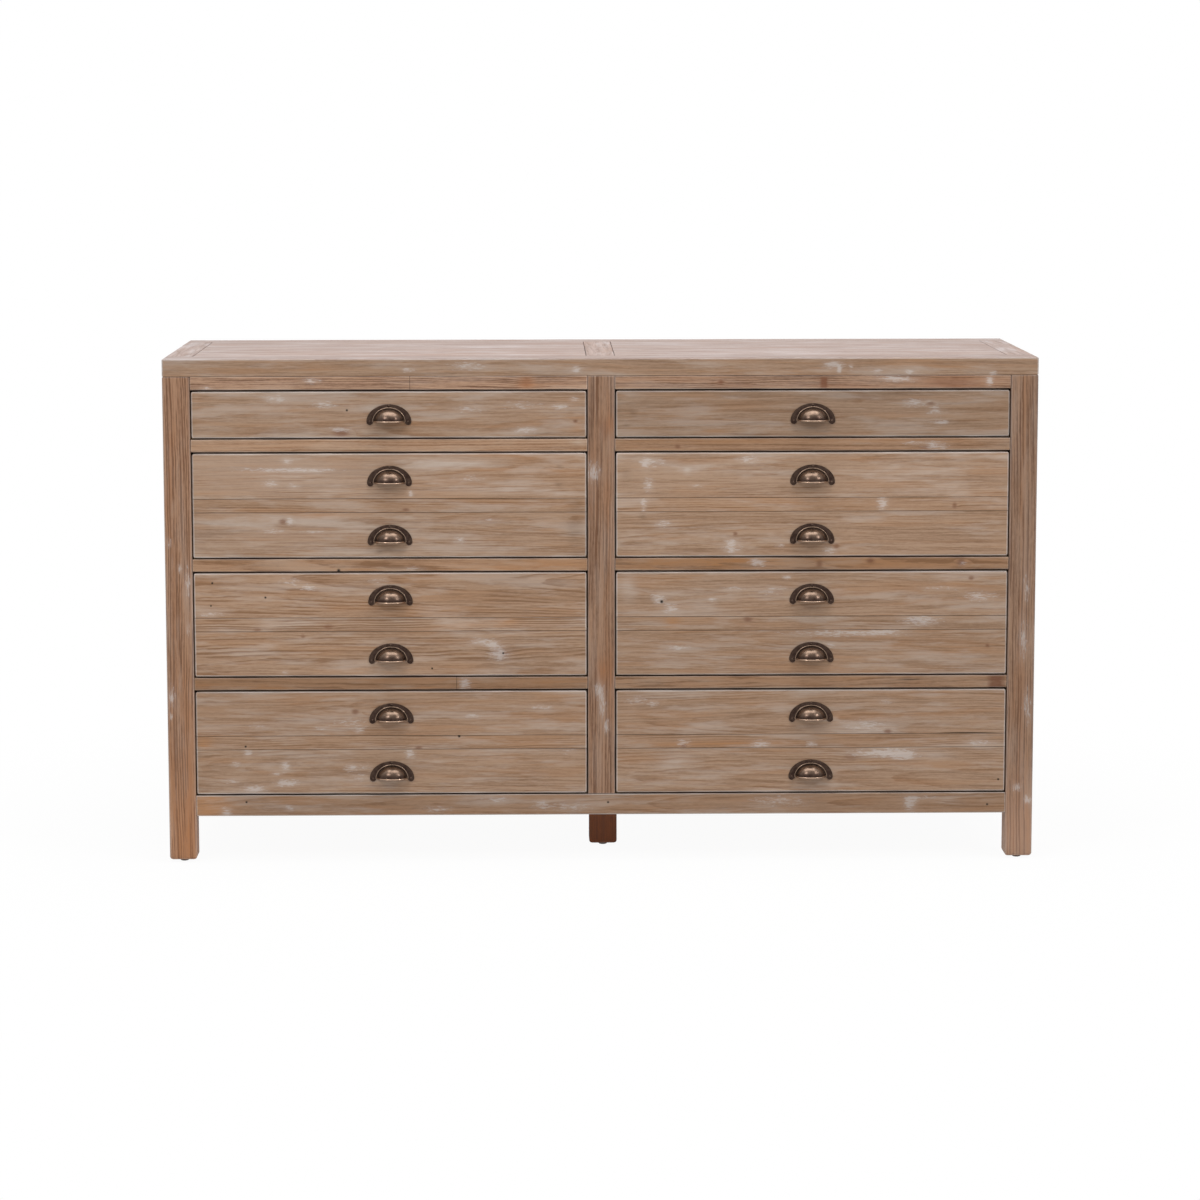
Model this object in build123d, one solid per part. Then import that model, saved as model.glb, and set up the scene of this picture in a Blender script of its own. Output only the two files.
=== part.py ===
"""Apothecary chest of drawers in limed reclaimed pine.

A post-and-rail carcass stands on glides under a framed plank top. Two banks of inset drawers, one shallow
row over three deep rows, run on wooden runners and open with cast cup pulls.
Millimetres. X runs along the front with the viewer's left at -X, Y runs from front to back, Z is up.
The origin is on the floor, under the middle of the bounding box.
"""

import os

from build123d import *

# Frame
WIDTH = 1600.0
DEPTH = 550.0  # carcass and top, without the pulls
POST = 50.0  # square corner posts
STILE_WIDTH = 50.0  # front and rear stiles between the banks
FRAME_THICK = 30.0  # front to back, of front and rear rails and stiles
LEG_CLEAR = 87.5  # floor to the bottom rail
BOTTOM_RAIL = 39.0
DIVIDER = 23.5  # rail between two rows of drawers
UPPER_RAIL = 25.0  # rail under the top
SHALLOW_OPENING = 90.0
DEEP_OPENING = 196.5
DEEP_ROWS = 3
FOOT_ROUND = 7.0  # worn bottom corners of the legs
EDGE_EASE = 2.0  # rounded long edges of posts, rails and drawer fronts

# Top
TOP_THICK = 32.0
TOP_RAIL_WIDTH = 70.0  # front and rear members of the top
TOP_END_WIDTH = 50.0
CROSSPIECE_WIDTH = 52.0
TOP_PLANKS = 4  # planks across the depth, on each side of the crosspiece
TOP_EASE = 3.0

# Joinery
SEAM = 0.5  # between boards laid edge to edge
FIT = 0.2  # clearance round a tenon, tongue or lap
TENON_LENGTH = 18.0
TENON_THICK = 12.0
TENON_SHOULDER = 4.0
GROOVE = 8.0  # depth of the grooves that hold panels
PANEL_SHOULDER = 10.0  # of a tenon beside a panel groove
STILE_TENON_DEPTH = 20.0  # foot of the centre stile in the bottom rail
BOTTOM_GROOVE = 6.0  # how far the bottom panel is let into the rails

# Sides, back and inner boards
SIDE_RAIL_SETBACK = 4.0  # from the outer face of the posts
SIDE_RAIL_THICK = 26.0
SIDE_PLANK_THICK = 14.0
SIDE_PLANKS = 5
UPPER_PANEL_RAIL = 60.0  # height of the top rails of sides and back
BACK_BOARD_THICK = 10.0
BACK_BOARDS = 6  # in each bay of the back
PARTITION_THICK = 18.0
BOTTOM_PANEL_THICK = 12.0
RUNNER_WIDTH = 25.0
GUIDE_RISE = 20.0  # how far a guide stands above its runner
STOP_WIDTH = 40.0
STOP_HEIGHT = 6.0
STOP_SPREAD = 220.0  # of a drawer's two stops, from its middle

# Centre foot and glides
CENTRE_FOOT_WIDTH = 52.0
CENTRE_FOOT_DEPTH = 50.0
CENTRE_FOOT_BACK = 160.0  # from the front face to the middle of the foot
CENTRE_FOOT_OFFSET = 5.0  # to the right of the middle
GLIDE_HEIGHT = 5.0
GLIDE_RADIUS = 9.0
GLIDE_ROUND = 4.0
GLIDE_NAIL_RADIUS = 1.5
GLIDE_NAIL_LENGTH = 14.0

# Drawers
SIDE_GAP = 2.0  # beside a drawer
TOP_GAP = 2.5  # over a drawer front
BOTTOM_GAP = 2.0  # under a drawer front
RUN_CLEAR = 0.3  # between a drawer side and its runner
FRONT_THICK = 20.0
FRONT_STRIP = 25.0  # narrow middle board of a deep front
FRONT_LAP = 12.0  # how far a side is let into the front
BOX_SIDE_THICK = 14.0
BOX_BACK_THICK = 12.0
BOX_LENGTH = 470.0  # from the face of the front to the back of the box
BOX_TOP_GAP = 10.0  # over the sides
BOX_BOTTOM_THICK = 8.0
BOX_BOTTOM_RAISE = 10.0  # underside of the bottom above the runners
BOX_GROOVE = 6.0  # how far the bottom is let into sides and front
BOX_BACK_DROP = 6.0  # top of the back below the sides

# Cup pulls and their screws
PULL_WIDTH = 82.0
PULL_RISE = 32.0  # flange above the lip
LUG_RADIUS = 6.0
FLANGE_THICK = 2.0
BOWL_HALF_WIDTH = 28.0
BOWL_REACH = 24.0  # height of the bowl, and its reach from the drawer front
BOWL_END = 4.0  # straight part at each end of the bowl
BOWL_WALL = 1.8
LIP_PROUD = 1.0
LIP_HEIGHT = 2.4
BEAD_WIDTH = 2.0
BEAD_HEIGHT = 3.2  # from the drawer front
SCREW_HEAD_RADIUS = 2.6
SCREW_HEAD_HEIGHT = 1.6
SCREW_RADIUS = 1.4
SCREW_BITE = 12.0  # length in the wood
SCREW_SLOT = 0.8
SCREW_HOLE_CLEAR = 0.1

# Places worked out from the sizes above
HALF = WIDTH / 2
PULL_REACH = BOWL_REACH + LIP_PROUD
FRONT = -(DEPTH - PULL_REACH) / 2
BACK = FRONT + DEPTH
RAIL_BACK = FRONT + FRAME_THICK
REAR_FACE = BACK - FRAME_THICK
POST_BACK = FRONT + POST
REAR_POST_FACE = BACK - POST
BOTTOM_RAIL_TOP = LEG_CLEAR + BOTTOM_RAIL
BANKS = {"left": (-HALF + POST, -STILE_WIDTH / 2), "right": (STILE_WIDTH / 2, HALF - POST)}
ROW_HEIGHTS = [SHALLOW_OPENING] + DEEP_ROWS * [DEEP_OPENING]  # top row first
ROWS = []
row_floor = BOTTOM_RAIL_TOP
for row_height in reversed(ROW_HEIGHTS):
    ROWS.insert(0, (row_floor, row_floor + row_height))
    row_floor += row_height + DIVIDER
TOP_UNDER = ROWS[0][1] + UPPER_RAIL
HEIGHT = TOP_UNDER + TOP_THICK
UPPER_PANEL_RAIL_LOW = TOP_UNDER - UPPER_PANEL_RAIL
PANEL_LOW = BOTTOM_RAIL_TOP - GROOVE + FIT
PANEL_HIGH = UPPER_PANEL_RAIL_LOW + GROOVE - FIT
BOTTOM_PANEL_TOP = BOTTOM_RAIL_TOP - DIVIDER
SIDE_RAIL_INNER = HALF - SIDE_RAIL_SETBACK - SIDE_RAIL_THICK  # distance from the middle
SIDE_RAIL_MIDDLE = SIDE_RAIL_INNER + SIDE_RAIL_THICK / 2
RAIL_MIDDLE = FRONT + FRAME_THICK / 2
REAR_MIDDLE = BACK - FRAME_THICK / 2


def block(x, y, z):
    """A plain block from its (low, high) spans along the three axes."""
    size = [high - low for low, high in (x, y, z)]
    return Pos(x[0], y[0], z[0]) * Box(*size, align=(Align.MIN, Align.MIN, Align.MIN))


def about(middle, width):
    """The (low, high) span of a width about its middle."""
    return (middle - width / 2, middle + width / 2)


def inside(span, amount):
    """A span drawn in by an amount at both ends. A negative amount widens it."""
    return (span[0] + amount, span[1] - amount)


def mirrored(span):
    """A span on the other side of the middle."""
    return (-span[1], -span[0])


def strips(span, count):
    """A span cut into equal strips with a seam between each two."""
    step = (span[1] - span[0] + SEAM) / count
    return [(span[0] + i * step, span[0] + (i + 1) * step - SEAM) for i in range(count)]


def eased(board, axis):
    """A board with its long edges rounded."""
    return fillet(board.edges().filter_by(axis), EDGE_EASE)


def in_front(board):
    """The edges round the front face of a board."""
    return board.faces().sort_by(Axis.Y)[0].edges()


# Spans of the tenons and panels, which the posts and rails are cut for
LOWER_SPAN = (LEG_CLEAR, BOTTOM_RAIL_TOP)
UPPER_PANEL_SPAN = (UPPER_PANEL_RAIL_LOW, TOP_UNDER)
TENON_Y = about(RAIL_MIDDLE, TENON_THICK)
REAR_TENON_Y = about(REAR_MIDDLE, TENON_THICK)
SIDE_TENON_X = about(SIDE_RAIL_MIDDLE, TENON_THICK)
SIDE_PLANK_X = about(SIDE_RAIL_MIDDLE, SIDE_PLANK_THICK)
SIDE_PLANK_Y = (POST_BACK - GROOVE + FIT, REAR_POST_FACE + GROOVE - FIT)
BACK_BOARD_Y = about(REAR_MIDDLE, BACK_BOARD_THICK)
DIVIDER_SPANS = [(low - DIVIDER, low) for low, high in ROWS[:-1]]
UPPER_SPAN = (ROWS[0][1], TOP_UNDER)


def tenoned_rail(x, y, z, tenon_y, shoulder):
    """A rail along X with a stub tenon at each end."""
    rail = eased(block(x, y, z), Axis.X)
    for tenon_x in ((x[0] - TENON_LENGTH, x[0]), (x[1], x[1] + TENON_LENGTH)):
        rail += block(tenon_x, tenon_y, inside(z, shoulder))
    return rail


def mortise(x, y, z):
    """The hole for a tenon or tongue, wider by the joinery clearance."""
    return block(inside(x, -FIT), inside(y, -FIT), inside(z, -FIT))


def front_rail_mortises(x):
    """Mortises for one end of every front rail that meets a member, where the tenons cover x."""
    spans = [inside(z, TENON_SHOULDER) for z in DIVIDER_SPANS + [UPPER_SPAN]]
    return [mortise(x, TENON_Y, z) for z in spans]


def leg(x, y, z):
    """A square leg with rounded bottom corners and eased long edges."""
    post = eased(block(x, y, z), Axis.Z)
    tall = z[1] - z[0] + FOOT_ROUND
    for plane, width, place in (
        (Plane.XZ, x[1] - x[0], Vector(sum(x) / 2, y[1], z[0])),
        (Plane.YZ, y[1] - y[0], Vector(x[0], sum(y) / 2, z[0])),
    ):
        outline = RectangleRounded(width, tall, FOOT_ROUND, align=(Align.CENTER, Align.MIN))
        post &= Pos(place) * extrude(plane * outline, x[1] - x[0] + y[1] - y[0])
    return post


def nail_hole(x, y, z):
    """The hole up into a leg for a glide's nail."""
    length = GLIDE_NAIL_LENGTH + FIT
    return Pos(x, y, z) * Cylinder(
        GLIDE_NAIL_RADIUS + SCREW_HOLE_CLEAR, length, align=(Align.CENTER, Align.CENTER, Align.MIN)
    )


def corner_post(side, front):
    """One corner post with its mortises and panel grooves. side is -1 for left and 1 for right."""
    x = (HALF - POST, HALF)
    y = (FRONT, POST_BACK) if front else (REAR_POST_FACE, BACK)
    tenon_x = (HALF - POST, HALF - POST + TENON_LENGTH)
    side_tenon_y = (POST_BACK - TENON_LENGTH, POST_BACK)
    if not front:
        side_tenon_y = (REAR_POST_FACE, REAR_POST_FACE + TENON_LENGTH)
    cuts = []
    for z in (LOWER_SPAN, UPPER_PANEL_SPAN):
        cuts.append(mortise(SIDE_TENON_X, side_tenon_y, inside(z, PANEL_SHOULDER)))
    cuts.append(mortise(SIDE_PLANK_X, SIDE_PLANK_Y, (PANEL_LOW, PANEL_HIGH)))
    if front:
        cuts += front_rail_mortises(tenon_x)
        cuts.append(mortise(tenon_x, TENON_Y, inside(LOWER_SPAN, PANEL_SHOULDER)))
    else:
        for z in (LOWER_SPAN, UPPER_PANEL_SPAN):
            cuts.append(mortise(tenon_x, REAR_TENON_Y, inside(z, PANEL_SHOULDER)))
        board_x = (HALF - POST, HALF - POST + GROOVE - FIT)
        cuts.append(mortise(board_x, BACK_BOARD_Y, (PANEL_LOW, PANEL_HIGH)))
    cuts.append(nail_hole(sum(x) / 2, sum(y) / 2, GLIDE_HEIGHT))
    post = leg(x, y, (GLIDE_HEIGHT, TOP_UNDER))
    for cut in cuts:
        post -= cut
    return post if side > 0 else mirror(post, about=Plane.YZ)


def centre_stile():
    """Front stile between the banks, standing on the bottom rail."""
    x = about(0, STILE_WIDTH)
    stile = eased(block(x, (FRONT, RAIL_BACK), (BOTTOM_RAIL_TOP, TOP_UNDER)), Axis.Z)
    for cut in front_rail_mortises((x[0], x[0] + TENON_LENGTH)):
        stile -= cut
    for cut in front_rail_mortises((x[1] - TENON_LENGTH, x[1])):
        stile -= cut
    return stile + block(*STILE_TENON)


STILE_TENON_X = about(0, STILE_WIDTH - 2 * TENON_SHOULDER)
STILE_TENON = (STILE_TENON_X, TENON_Y, (BOTTOM_RAIL_TOP - STILE_TENON_DEPTH, BOTTOM_RAIL_TOP))
BOTTOM_PANEL_Y = (RAIL_BACK - BOTTOM_GROOVE + FIT, REAR_FACE + BOTTOM_GROOVE - FIT)
BOTTOM_PANEL_Z = (BOTTOM_PANEL_TOP - BOTTOM_PANEL_THICK, BOTTOM_PANEL_TOP)
BETWEEN_POSTS = (-HALF + POST, HALF - POST)


def bottom_front_rail():
    """Rail under the lowest drawers, in one length between the posts."""
    y = (FRONT, RAIL_BACK)
    rail = tenoned_rail(BETWEEN_POSTS, y, LOWER_SPAN, TENON_Y, PANEL_SHOULDER)
    return rail - mortise(*STILE_TENON) - mortise(BETWEEN_POSTS, BOTTOM_PANEL_Y, BOTTOM_PANEL_Z)


def bottom_panel():
    """Panel under the lowest drawers, let into the front and rear rails and notched round the posts."""
    panel = block((-SIDE_RAIL_INNER, SIDE_RAIL_INNER), BOTTOM_PANEL_Y, BOTTOM_PANEL_Z)
    for x in ((-HALF, -HALF + POST), (HALF - POST, HALF)):
        for y in ((FRONT, POST_BACK), (REAR_POST_FACE, BACK)):
            panel -= mortise(x, y, BOTTOM_PANEL_Z)
    return panel


def rails_at(z):
    """The left and right front rails at one level."""
    y = (FRONT, RAIL_BACK)
    return [tenoned_rail(x, y, z, TENON_Y, TENON_SHOULDER) for x in BANKS.values()]


BACK_BAYS = [
    (-HALF + POST - GROOVE + FIT, -STILE_WIDTH / 2 + GROOVE - FIT),
    (STILE_WIDTH / 2 - GROOVE + FIT, HALF - POST + GROOVE - FIT),
]
REAR_STILE_X = about(0, STILE_WIDTH)
REAR_STILE_TENON_X = about(0, STILE_WIDTH - 2 * PANEL_SHOULDER)
REAR_STILE_TENONS = [
    (REAR_STILE_TENON_X, REAR_TENON_Y, (BOTTOM_RAIL_TOP - TENON_LENGTH, BOTTOM_RAIL_TOP)),
    (REAR_STILE_TENON_X, REAR_TENON_Y, (UPPER_PANEL_RAIL_LOW, UPPER_PANEL_RAIL_LOW + TENON_LENGTH)),
]


def rear_rails():
    """Lower and upper rails of the back, grooved for its boards."""
    rails = []
    for z in (LOWER_SPAN, UPPER_PANEL_SPAN):
        rail = tenoned_rail(BETWEEN_POSTS, (REAR_FACE, BACK), z, REAR_TENON_Y, PANEL_SHOULDER)
        rail -= mortise(BETWEEN_POSTS, BACK_BOARD_Y, (PANEL_LOW, PANEL_HIGH))
        for tenon in REAR_STILE_TENONS:
            rail -= mortise(*tenon)
        rails.append(rail - mortise(BETWEEN_POSTS, BOTTOM_PANEL_Y, BOTTOM_PANEL_Z))
    return rails


def rear_stile():
    """Rear stile between the two bays of the back."""
    stile = eased(
        block(REAR_STILE_X, (REAR_FACE, BACK), (BOTTOM_RAIL_TOP, UPPER_PANEL_RAIL_LOW)), Axis.Z
    )
    for bay in BACK_BAYS:
        stile -= mortise(bay, BACK_BOARD_Y, (PANEL_LOW, PANEL_HIGH))
    for tenon in REAR_STILE_TENONS:
        stile += block(*tenon)
    return stile


def back_boards():
    """Upright boards of the back, let into the rear frame."""
    return [
        block(x, BACK_BOARD_Y, (PANEL_LOW, PANEL_HIGH))
        for bay in BACK_BAYS
        for x in strips(bay, BACK_BOARDS)
    ]


def side_rails():
    """Lower and upper rails of both sides, grooved for the side planks."""
    rails = []
    x = about(SIDE_RAIL_MIDDLE, SIDE_RAIL_THICK)
    for z in (LOWER_SPAN, UPPER_PANEL_SPAN):
        rail = eased(block(x, (POST_BACK, REAR_POST_FACE), z), Axis.Y)
        for y in ((POST_BACK - TENON_LENGTH, POST_BACK), (REAR_POST_FACE, REAR_POST_FACE + TENON_LENGTH)):
            rail += block(SIDE_TENON_X, y, inside(z, PANEL_SHOULDER))
        rail -= mortise(SIDE_PLANK_X, (POST_BACK, REAR_POST_FACE), (PANEL_LOW, PANEL_HIGH))
        rails += [rail, mirror(rail, about=Plane.YZ)]
    return rails


def side_planks(side):
    """Level planks of one side, let into posts and rails."""
    x = SIDE_PLANK_X if side > 0 else mirrored(SIDE_PLANK_X)
    return [block(x, SIDE_PLANK_Y, z) for z in strips((PANEL_LOW, PANEL_HIGH), SIDE_PLANKS)]


def top_members():
    """The top, cut from one eased slab into frame members and planks. Returns names and lists of solids."""
    whole = ((-HALF, HALF), (FRONT, BACK), (TOP_UNDER, HEIGHT))
    slab = block(*whole)
    upper = slab.faces().sort_by(Axis.Z)[-1].edges()
    slab = fillet(upper + slab.edges().filter_by(Axis.Z), TOP_EASE)
    field_y = (FRONT + TOP_RAIL_WIDTH + SEAM, BACK - TOP_RAIL_WIDTH - SEAM)
    cross = about(0, CROSSPIECE_WIDTH)
    left_field = (-HALF + TOP_END_WIDTH + SEAM, cross[0] - SEAM)
    z = whole[2]

    def cut(x, y):
        return slab & block(x, y, z)

    return {
        "top_front_rail": [cut(whole[0], (FRONT, FRONT + TOP_RAIL_WIDTH))],
        "top_rear_rail": [cut(whole[0], (BACK - TOP_RAIL_WIDTH, BACK))],
        "top_left_end": [cut((-HALF, -HALF + TOP_END_WIDTH), field_y)],
        "top_right_end": [cut((HALF - TOP_END_WIDTH, HALF), field_y)],
        "top_crosspiece": [cut(cross, field_y)],
        "top_left_planks": [cut(left_field, y) for y in strips(field_y, TOP_PLANKS)],
        "top_right_planks": [cut(mirrored(left_field), y) for y in strips(field_y, TOP_PLANKS)],
    }


def bearing_levels():
    """(low, high) of every runner level, top kicker first."""
    return [UPPER_SPAN] + DIVIDER_SPANS + [(BOTTOM_PANEL_TOP, BOTTOM_RAIL_TOP)]


def bank_edges():
    """Each side of each bank: the edge of the opening, the way inward, and the face behind its guides."""
    for low, high in BANKS.values():
        for edge, inward in ((low, 1), (high, -1)):
            outer = abs(edge) > STILE_WIDTH
            carrier = SIDE_RAIL_INNER if outer else PARTITION_THICK / 2
            yield edge, inward, carrier if edge > 0 else -carrier


def drawer_runners():
    """Runners under the drawer sides, and the kickers over the top row."""
    return [
        block(tuple(sorted((edge, edge + inward * RUNNER_WIDTH))), (RAIL_BACK, REAR_POST_FACE), z)
        for edge, inward, carrier in bank_edges()
        for z in bearing_levels()
    ]


def runner_guides():
    """Battens that carry the runners and keep the drawers straight."""
    guides = []
    for edge, inward, carrier in bank_edges():
        outer = abs(edge) > STILE_WIDTH
        y = (POST_BACK, REAR_POST_FACE) if outer else (RAIL_BACK, REAR_POST_FACE)
        x = tuple(sorted((edge, carrier)))
        for low, high in bearing_levels():
            guides.append(block(x, y, (low, min(high + GUIDE_RISE, TOP_UNDER))))
    return guides


def drawer_stops():
    """Small blocks on the rails that meet the back of a closed drawer front."""
    y = (FRONT + FRONT_THICK + RUN_CLEAR, RAIL_BACK)
    return [
        block(about(sum(bank) / 2 + way * STOP_SPREAD, STOP_WIDTH), y, (low, low + STOP_HEIGHT))
        for bank in BANKS.values()
        for low, high in ROWS
        for way in (-1, 1)
    ]


FOOT_SPOT = (CENTRE_FOOT_OFFSET, FRONT + CENTRE_FOOT_BACK)
POST_SPOTS = [
    (side * (HALF - POST / 2), y) for side in (-1, 1) for y in (FRONT + POST / 2, BACK - POST / 2)
]


def centre_foot():
    """Short leg under the bottom panel, behind the middle of the front."""
    foot = leg(
        about(FOOT_SPOT[0], CENTRE_FOOT_WIDTH),
        about(FOOT_SPOT[1], CENTRE_FOOT_DEPTH),
        (GLIDE_HEIGHT, BOTTOM_PANEL_Z[0]),
    )
    return foot - nail_hole(*FOOT_SPOT, GLIDE_HEIGHT)


def glide():
    """Round glide with its nail, standing on the floor at the origin."""
    seated = (Align.CENTER, Align.CENTER, Align.MIN)
    button = Cylinder(GLIDE_RADIUS, GLIDE_HEIGHT, align=seated)
    button = fillet(button.faces().sort_by(Axis.Z)[0].edges(), GLIDE_ROUND)
    nail = Cylinder(GLIDE_NAIL_RADIUS, GLIDE_HEIGHT + GLIDE_NAIL_LENGTH, align=seated)
    return button + nail


def bowl_outline(grow):
    """Half outline of the cup on its local +Y side: a bow with short straight ends, grown all round."""
    half = BOWL_HALF_WIDTH + grow
    bow = ThreePointArc((-half, BOWL_END), (0, BOWL_REACH + grow), (half, BOWL_END))
    return make_face(bow + Polyline((half, BOWL_END), (half, 0), (-half, 0), (-half, BOWL_END)))


PULL_SCREWS = [
    (0, (BOWL_REACH + BEAD_WIDTH + PULL_RISE) / 2),
    (-PULL_WIDTH / 2 + LUG_RADIUS, 0),
    (PULL_WIDTH / 2 - LUG_RADIUS, 0),
]
LIP_DROP = (PULL_RISE - LUG_RADIUS) / 2  # lip below the middle of the pull


def screw_hole(x, z, length):
    """A clearance hole for a pull screw, from the flange back into the front."""
    hole = Cylinder(SCREW_RADIUS + SCREW_HOLE_CLEAR, length, align=(Align.CENTER, Align.CENTER, Align.MAX))
    return Pos(x, -FLANGE_THICK, z) * Rot(90, 0, 0) * hole


def cup_pull():
    """Cast cup pull with its back on the XZ plane and its lip at z 0, reaching towards -Y."""
    in_wall = bowl_outline(-BOWL_WALL / 2)
    forward = Plane((0, 0, 0), (1, 0, 0), (0, 0, -1))
    outline = Ellipse(PULL_WIDTH / 2, PULL_RISE)
    outline &= Rectangle(PULL_WIDTH, PULL_RISE, align=(Align.CENTER, Align.MIN))
    for side in (-1, 1):
        outline += Pos(side * (PULL_WIDTH / 2 - LUG_RADIUS), 0) * Circle(LUG_RADIUS)
    pull = extrude(Plane.XZ * (outline - in_wall), FLANGE_THICK)
    pull += revolve(forward * (bowl_outline(0) - bowl_outline(-BOWL_WALL)), -Axis.X, 90)
    pull += extrude(Plane.XZ * (bowl_outline(BEAD_WIDTH) - in_wall), BEAD_HEIGHT)
    pull += Pos(0, 0, LIP_HEIGHT) * extrude(forward * (bowl_outline(LIP_PROUD) - in_wall), LIP_HEIGHT)
    for x, z in PULL_SCREWS:
        pull -= screw_hole(x, z, FLANGE_THICK)
    return pull


def pull_screw():
    """Slotted round-head screw at the origin, its head on the flange and its shank towards +Y."""
    dome_radius = (SCREW_HEAD_RADIUS**2 + SCREW_HEAD_HEIGHT**2) / (2 * SCREW_HEAD_HEIGHT)
    dome = Pos(0, 0, SCREW_HEAD_HEIGHT - dome_radius) * Sphere(dome_radius)
    width = 2 * SCREW_HEAD_RADIUS
    seated = (Align.CENTER, Align.CENTER, Align.MIN)
    head = dome & Box(width, width, SCREW_HEAD_HEIGHT, align=seated)
    head -= Pos(0, 0, SCREW_HEAD_HEIGHT / 2) * Box(width, SCREW_SLOT, SCREW_HEAD_HEIGHT, align=seated)
    length = FLANGE_THICK + SCREW_BITE
    shank = Cylinder(SCREW_RADIUS, length, align=(Align.CENTER, Align.CENTER, Align.MAX))
    return Pos(0, -FLANGE_THICK, 0) * Rot(90, 0, 0) * (head + shank)


def pull_spots(bank, row, deep):
    """(x, z) of each pull's lip line on a drawer: one on a shallow front, two on a deep one."""
    low, high = row[0] + BOTTOM_GAP, row[1] - TOP_GAP
    middle, lip = sum(bank) / 2, (low + high) / 2 - LIP_DROP
    if not deep:
        return [(middle, lip)]
    offset = (high - low + FRONT_STRIP) / 4
    return [(middle, lip + offset), (middle, lip - offset)]


def drawer(bank, row, deep):
    """One drawer in its opening. Returns its front boards, box boards, pulls and screws."""
    width = inside(bank, SIDE_GAP)
    floor = row[0] + RUN_CLEAR
    box_top = row[1] - BOX_TOP_GAP
    face_z = (row[0] + BOTTOM_GAP, row[1] - TOP_GAP)
    box_back = FRONT + BOX_LENGTH
    left = (width[0], width[0] + BOX_SIDE_THICK)
    right = (width[1] - BOX_SIDE_THICK, width[1])
    side_y = (FRONT + FRONT_THICK - FRONT_LAP + FIT, box_back)
    inner_x = (left[1], right[0])
    bottom = (
        inside(inner_x, -BOX_GROOVE + FIT),
        (FRONT + FRONT_THICK - BOX_GROOVE + FIT, box_back),
        (row[0] + BOX_BOTTOM_RAISE, row[0] + BOX_BOTTOM_RAISE + BOX_BOTTOM_THICK),
    )
    sides = [block(x, side_y, (floor, box_top)) for x in (left, right)]
    board = block(width, (FRONT, FRONT + FRONT_THICK), face_z)
    board = fillet(in_front(board), EDGE_EASE)
    for x in (left, right):
        board -= mortise(x, side_y, (floor, box_top))
    board -= mortise(*bottom)
    pulls, screws = [], []
    for x, lip in pull_spots(bank, row, deep):
        place = Pos(x, FRONT, lip)
        pulls.append(place * cup_pull())
        for spot in PULL_SCREWS:
            board -= place * screw_hole(*spot, FLANGE_THICK + SCREW_BITE)
            screws.append(place * Pos(spot[0], 0, spot[1]) * pull_screw())
    front = [board]
    if deep:
        middle = about(sum(face_z) / 2, FRONT_STRIP)
        levels = [(face_z[0], middle[0] - SEAM), middle, (middle[1] + SEAM, face_z[1])]
        front = [board & block(width, (FRONT, FRONT + FRONT_THICK), z) for z in levels]
    back_z = (bottom[2][1], box_top - BOX_BACK_DROP)
    box = [side - mortise(*bottom) for side in sides]
    box.append(block(inner_x, (box_back - BOX_BACK_THICK, box_back), back_z))
    box.append(block(*bottom))
    return {"front": front, "box": box, "pulls": pulls, "screws": screws}


def chest():
    """Every node of the chest as a name and its list of solids."""
    nodes = top_members()
    for name, side, front in (
        ("front_left_post", -1, True),
        ("front_right_post", 1, True),
        ("rear_left_post", -1, False),
        ("rear_right_post", 1, False),
    ):
        nodes[name] = [corner_post(side, front)]
    nodes["centre_stile"] = [centre_stile()]
    nodes["upper_front_rails"] = rails_at(UPPER_SPAN)
    nodes["divider_rails"] = [rail for z in DIVIDER_SPANS for rail in rails_at(z)]
    nodes["bottom_front_rail"] = [bottom_front_rail()]
    nodes["side_rails"] = side_rails()
    nodes["left_side_planks"] = side_planks(-1)
    nodes["right_side_planks"] = side_planks(1)
    nodes["rear_rails"] = rear_rails()
    nodes["rear_stile"] = [rear_stile()]
    nodes["back_boards"] = back_boards()
    partition_y = (RAIL_BACK, REAR_FACE)
    nodes["centre_partition"] = [
        block(about(0, PARTITION_THICK), partition_y, (BOTTOM_PANEL_TOP, TOP_UNDER))
    ]
    nodes["bottom_panel"] = [bottom_panel()]
    nodes["drawer_runners"] = drawer_runners()
    nodes["runner_guides"] = runner_guides()
    nodes["drawer_stops"] = drawer_stops()
    nodes["centre_foot"] = [centre_foot()]
    nodes["floor_glides"] = [Pos(x, y, 0) * glide() for x, y in POST_SPOTS + [FOOT_SPOT]]
    for side, bank in BANKS.items():
        for number, row in enumerate(ROWS, 1):
            for kind, solids in drawer(bank, row, deep=number > 1).items():
                nodes[f"{side}_drawer_{number}_{kind}"] = solids
    return nodes


def export_nodes():
    """Writes one STEP file for each node."""
    os.makedirs("parts", exist_ok=True)
    nodes = chest()
    for name, solids in nodes.items():
        pieces = [solid for shape in solids for solid in shape.solids()]
        shape = pieces[0] if len(pieces) == 1 else Compound(children=pieces)
        export_step(shape, f"parts/{name}.step")
    print(len(nodes), "nodes, overall", WIDTH, DEPTH + PULL_REACH, HEIGHT)


export_nodes()
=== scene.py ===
# %% [markdown]
# An apothecary chest in limed reclaimed pine
#
# The chest arrives as a frame: every piece at its real size, grouped in bodies that slide. This lesson
# dresses that frame. Each board is rebuilt as a mesh with softened arrises, the cup pulls are turned and
# swept from curves, and one wood finish, driven by values painted on the boards, gives every plank its own
# figure.

# %% Load the frame
import math

import bpy
import numpy as np
from mathutils import Matrix, Vector


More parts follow.
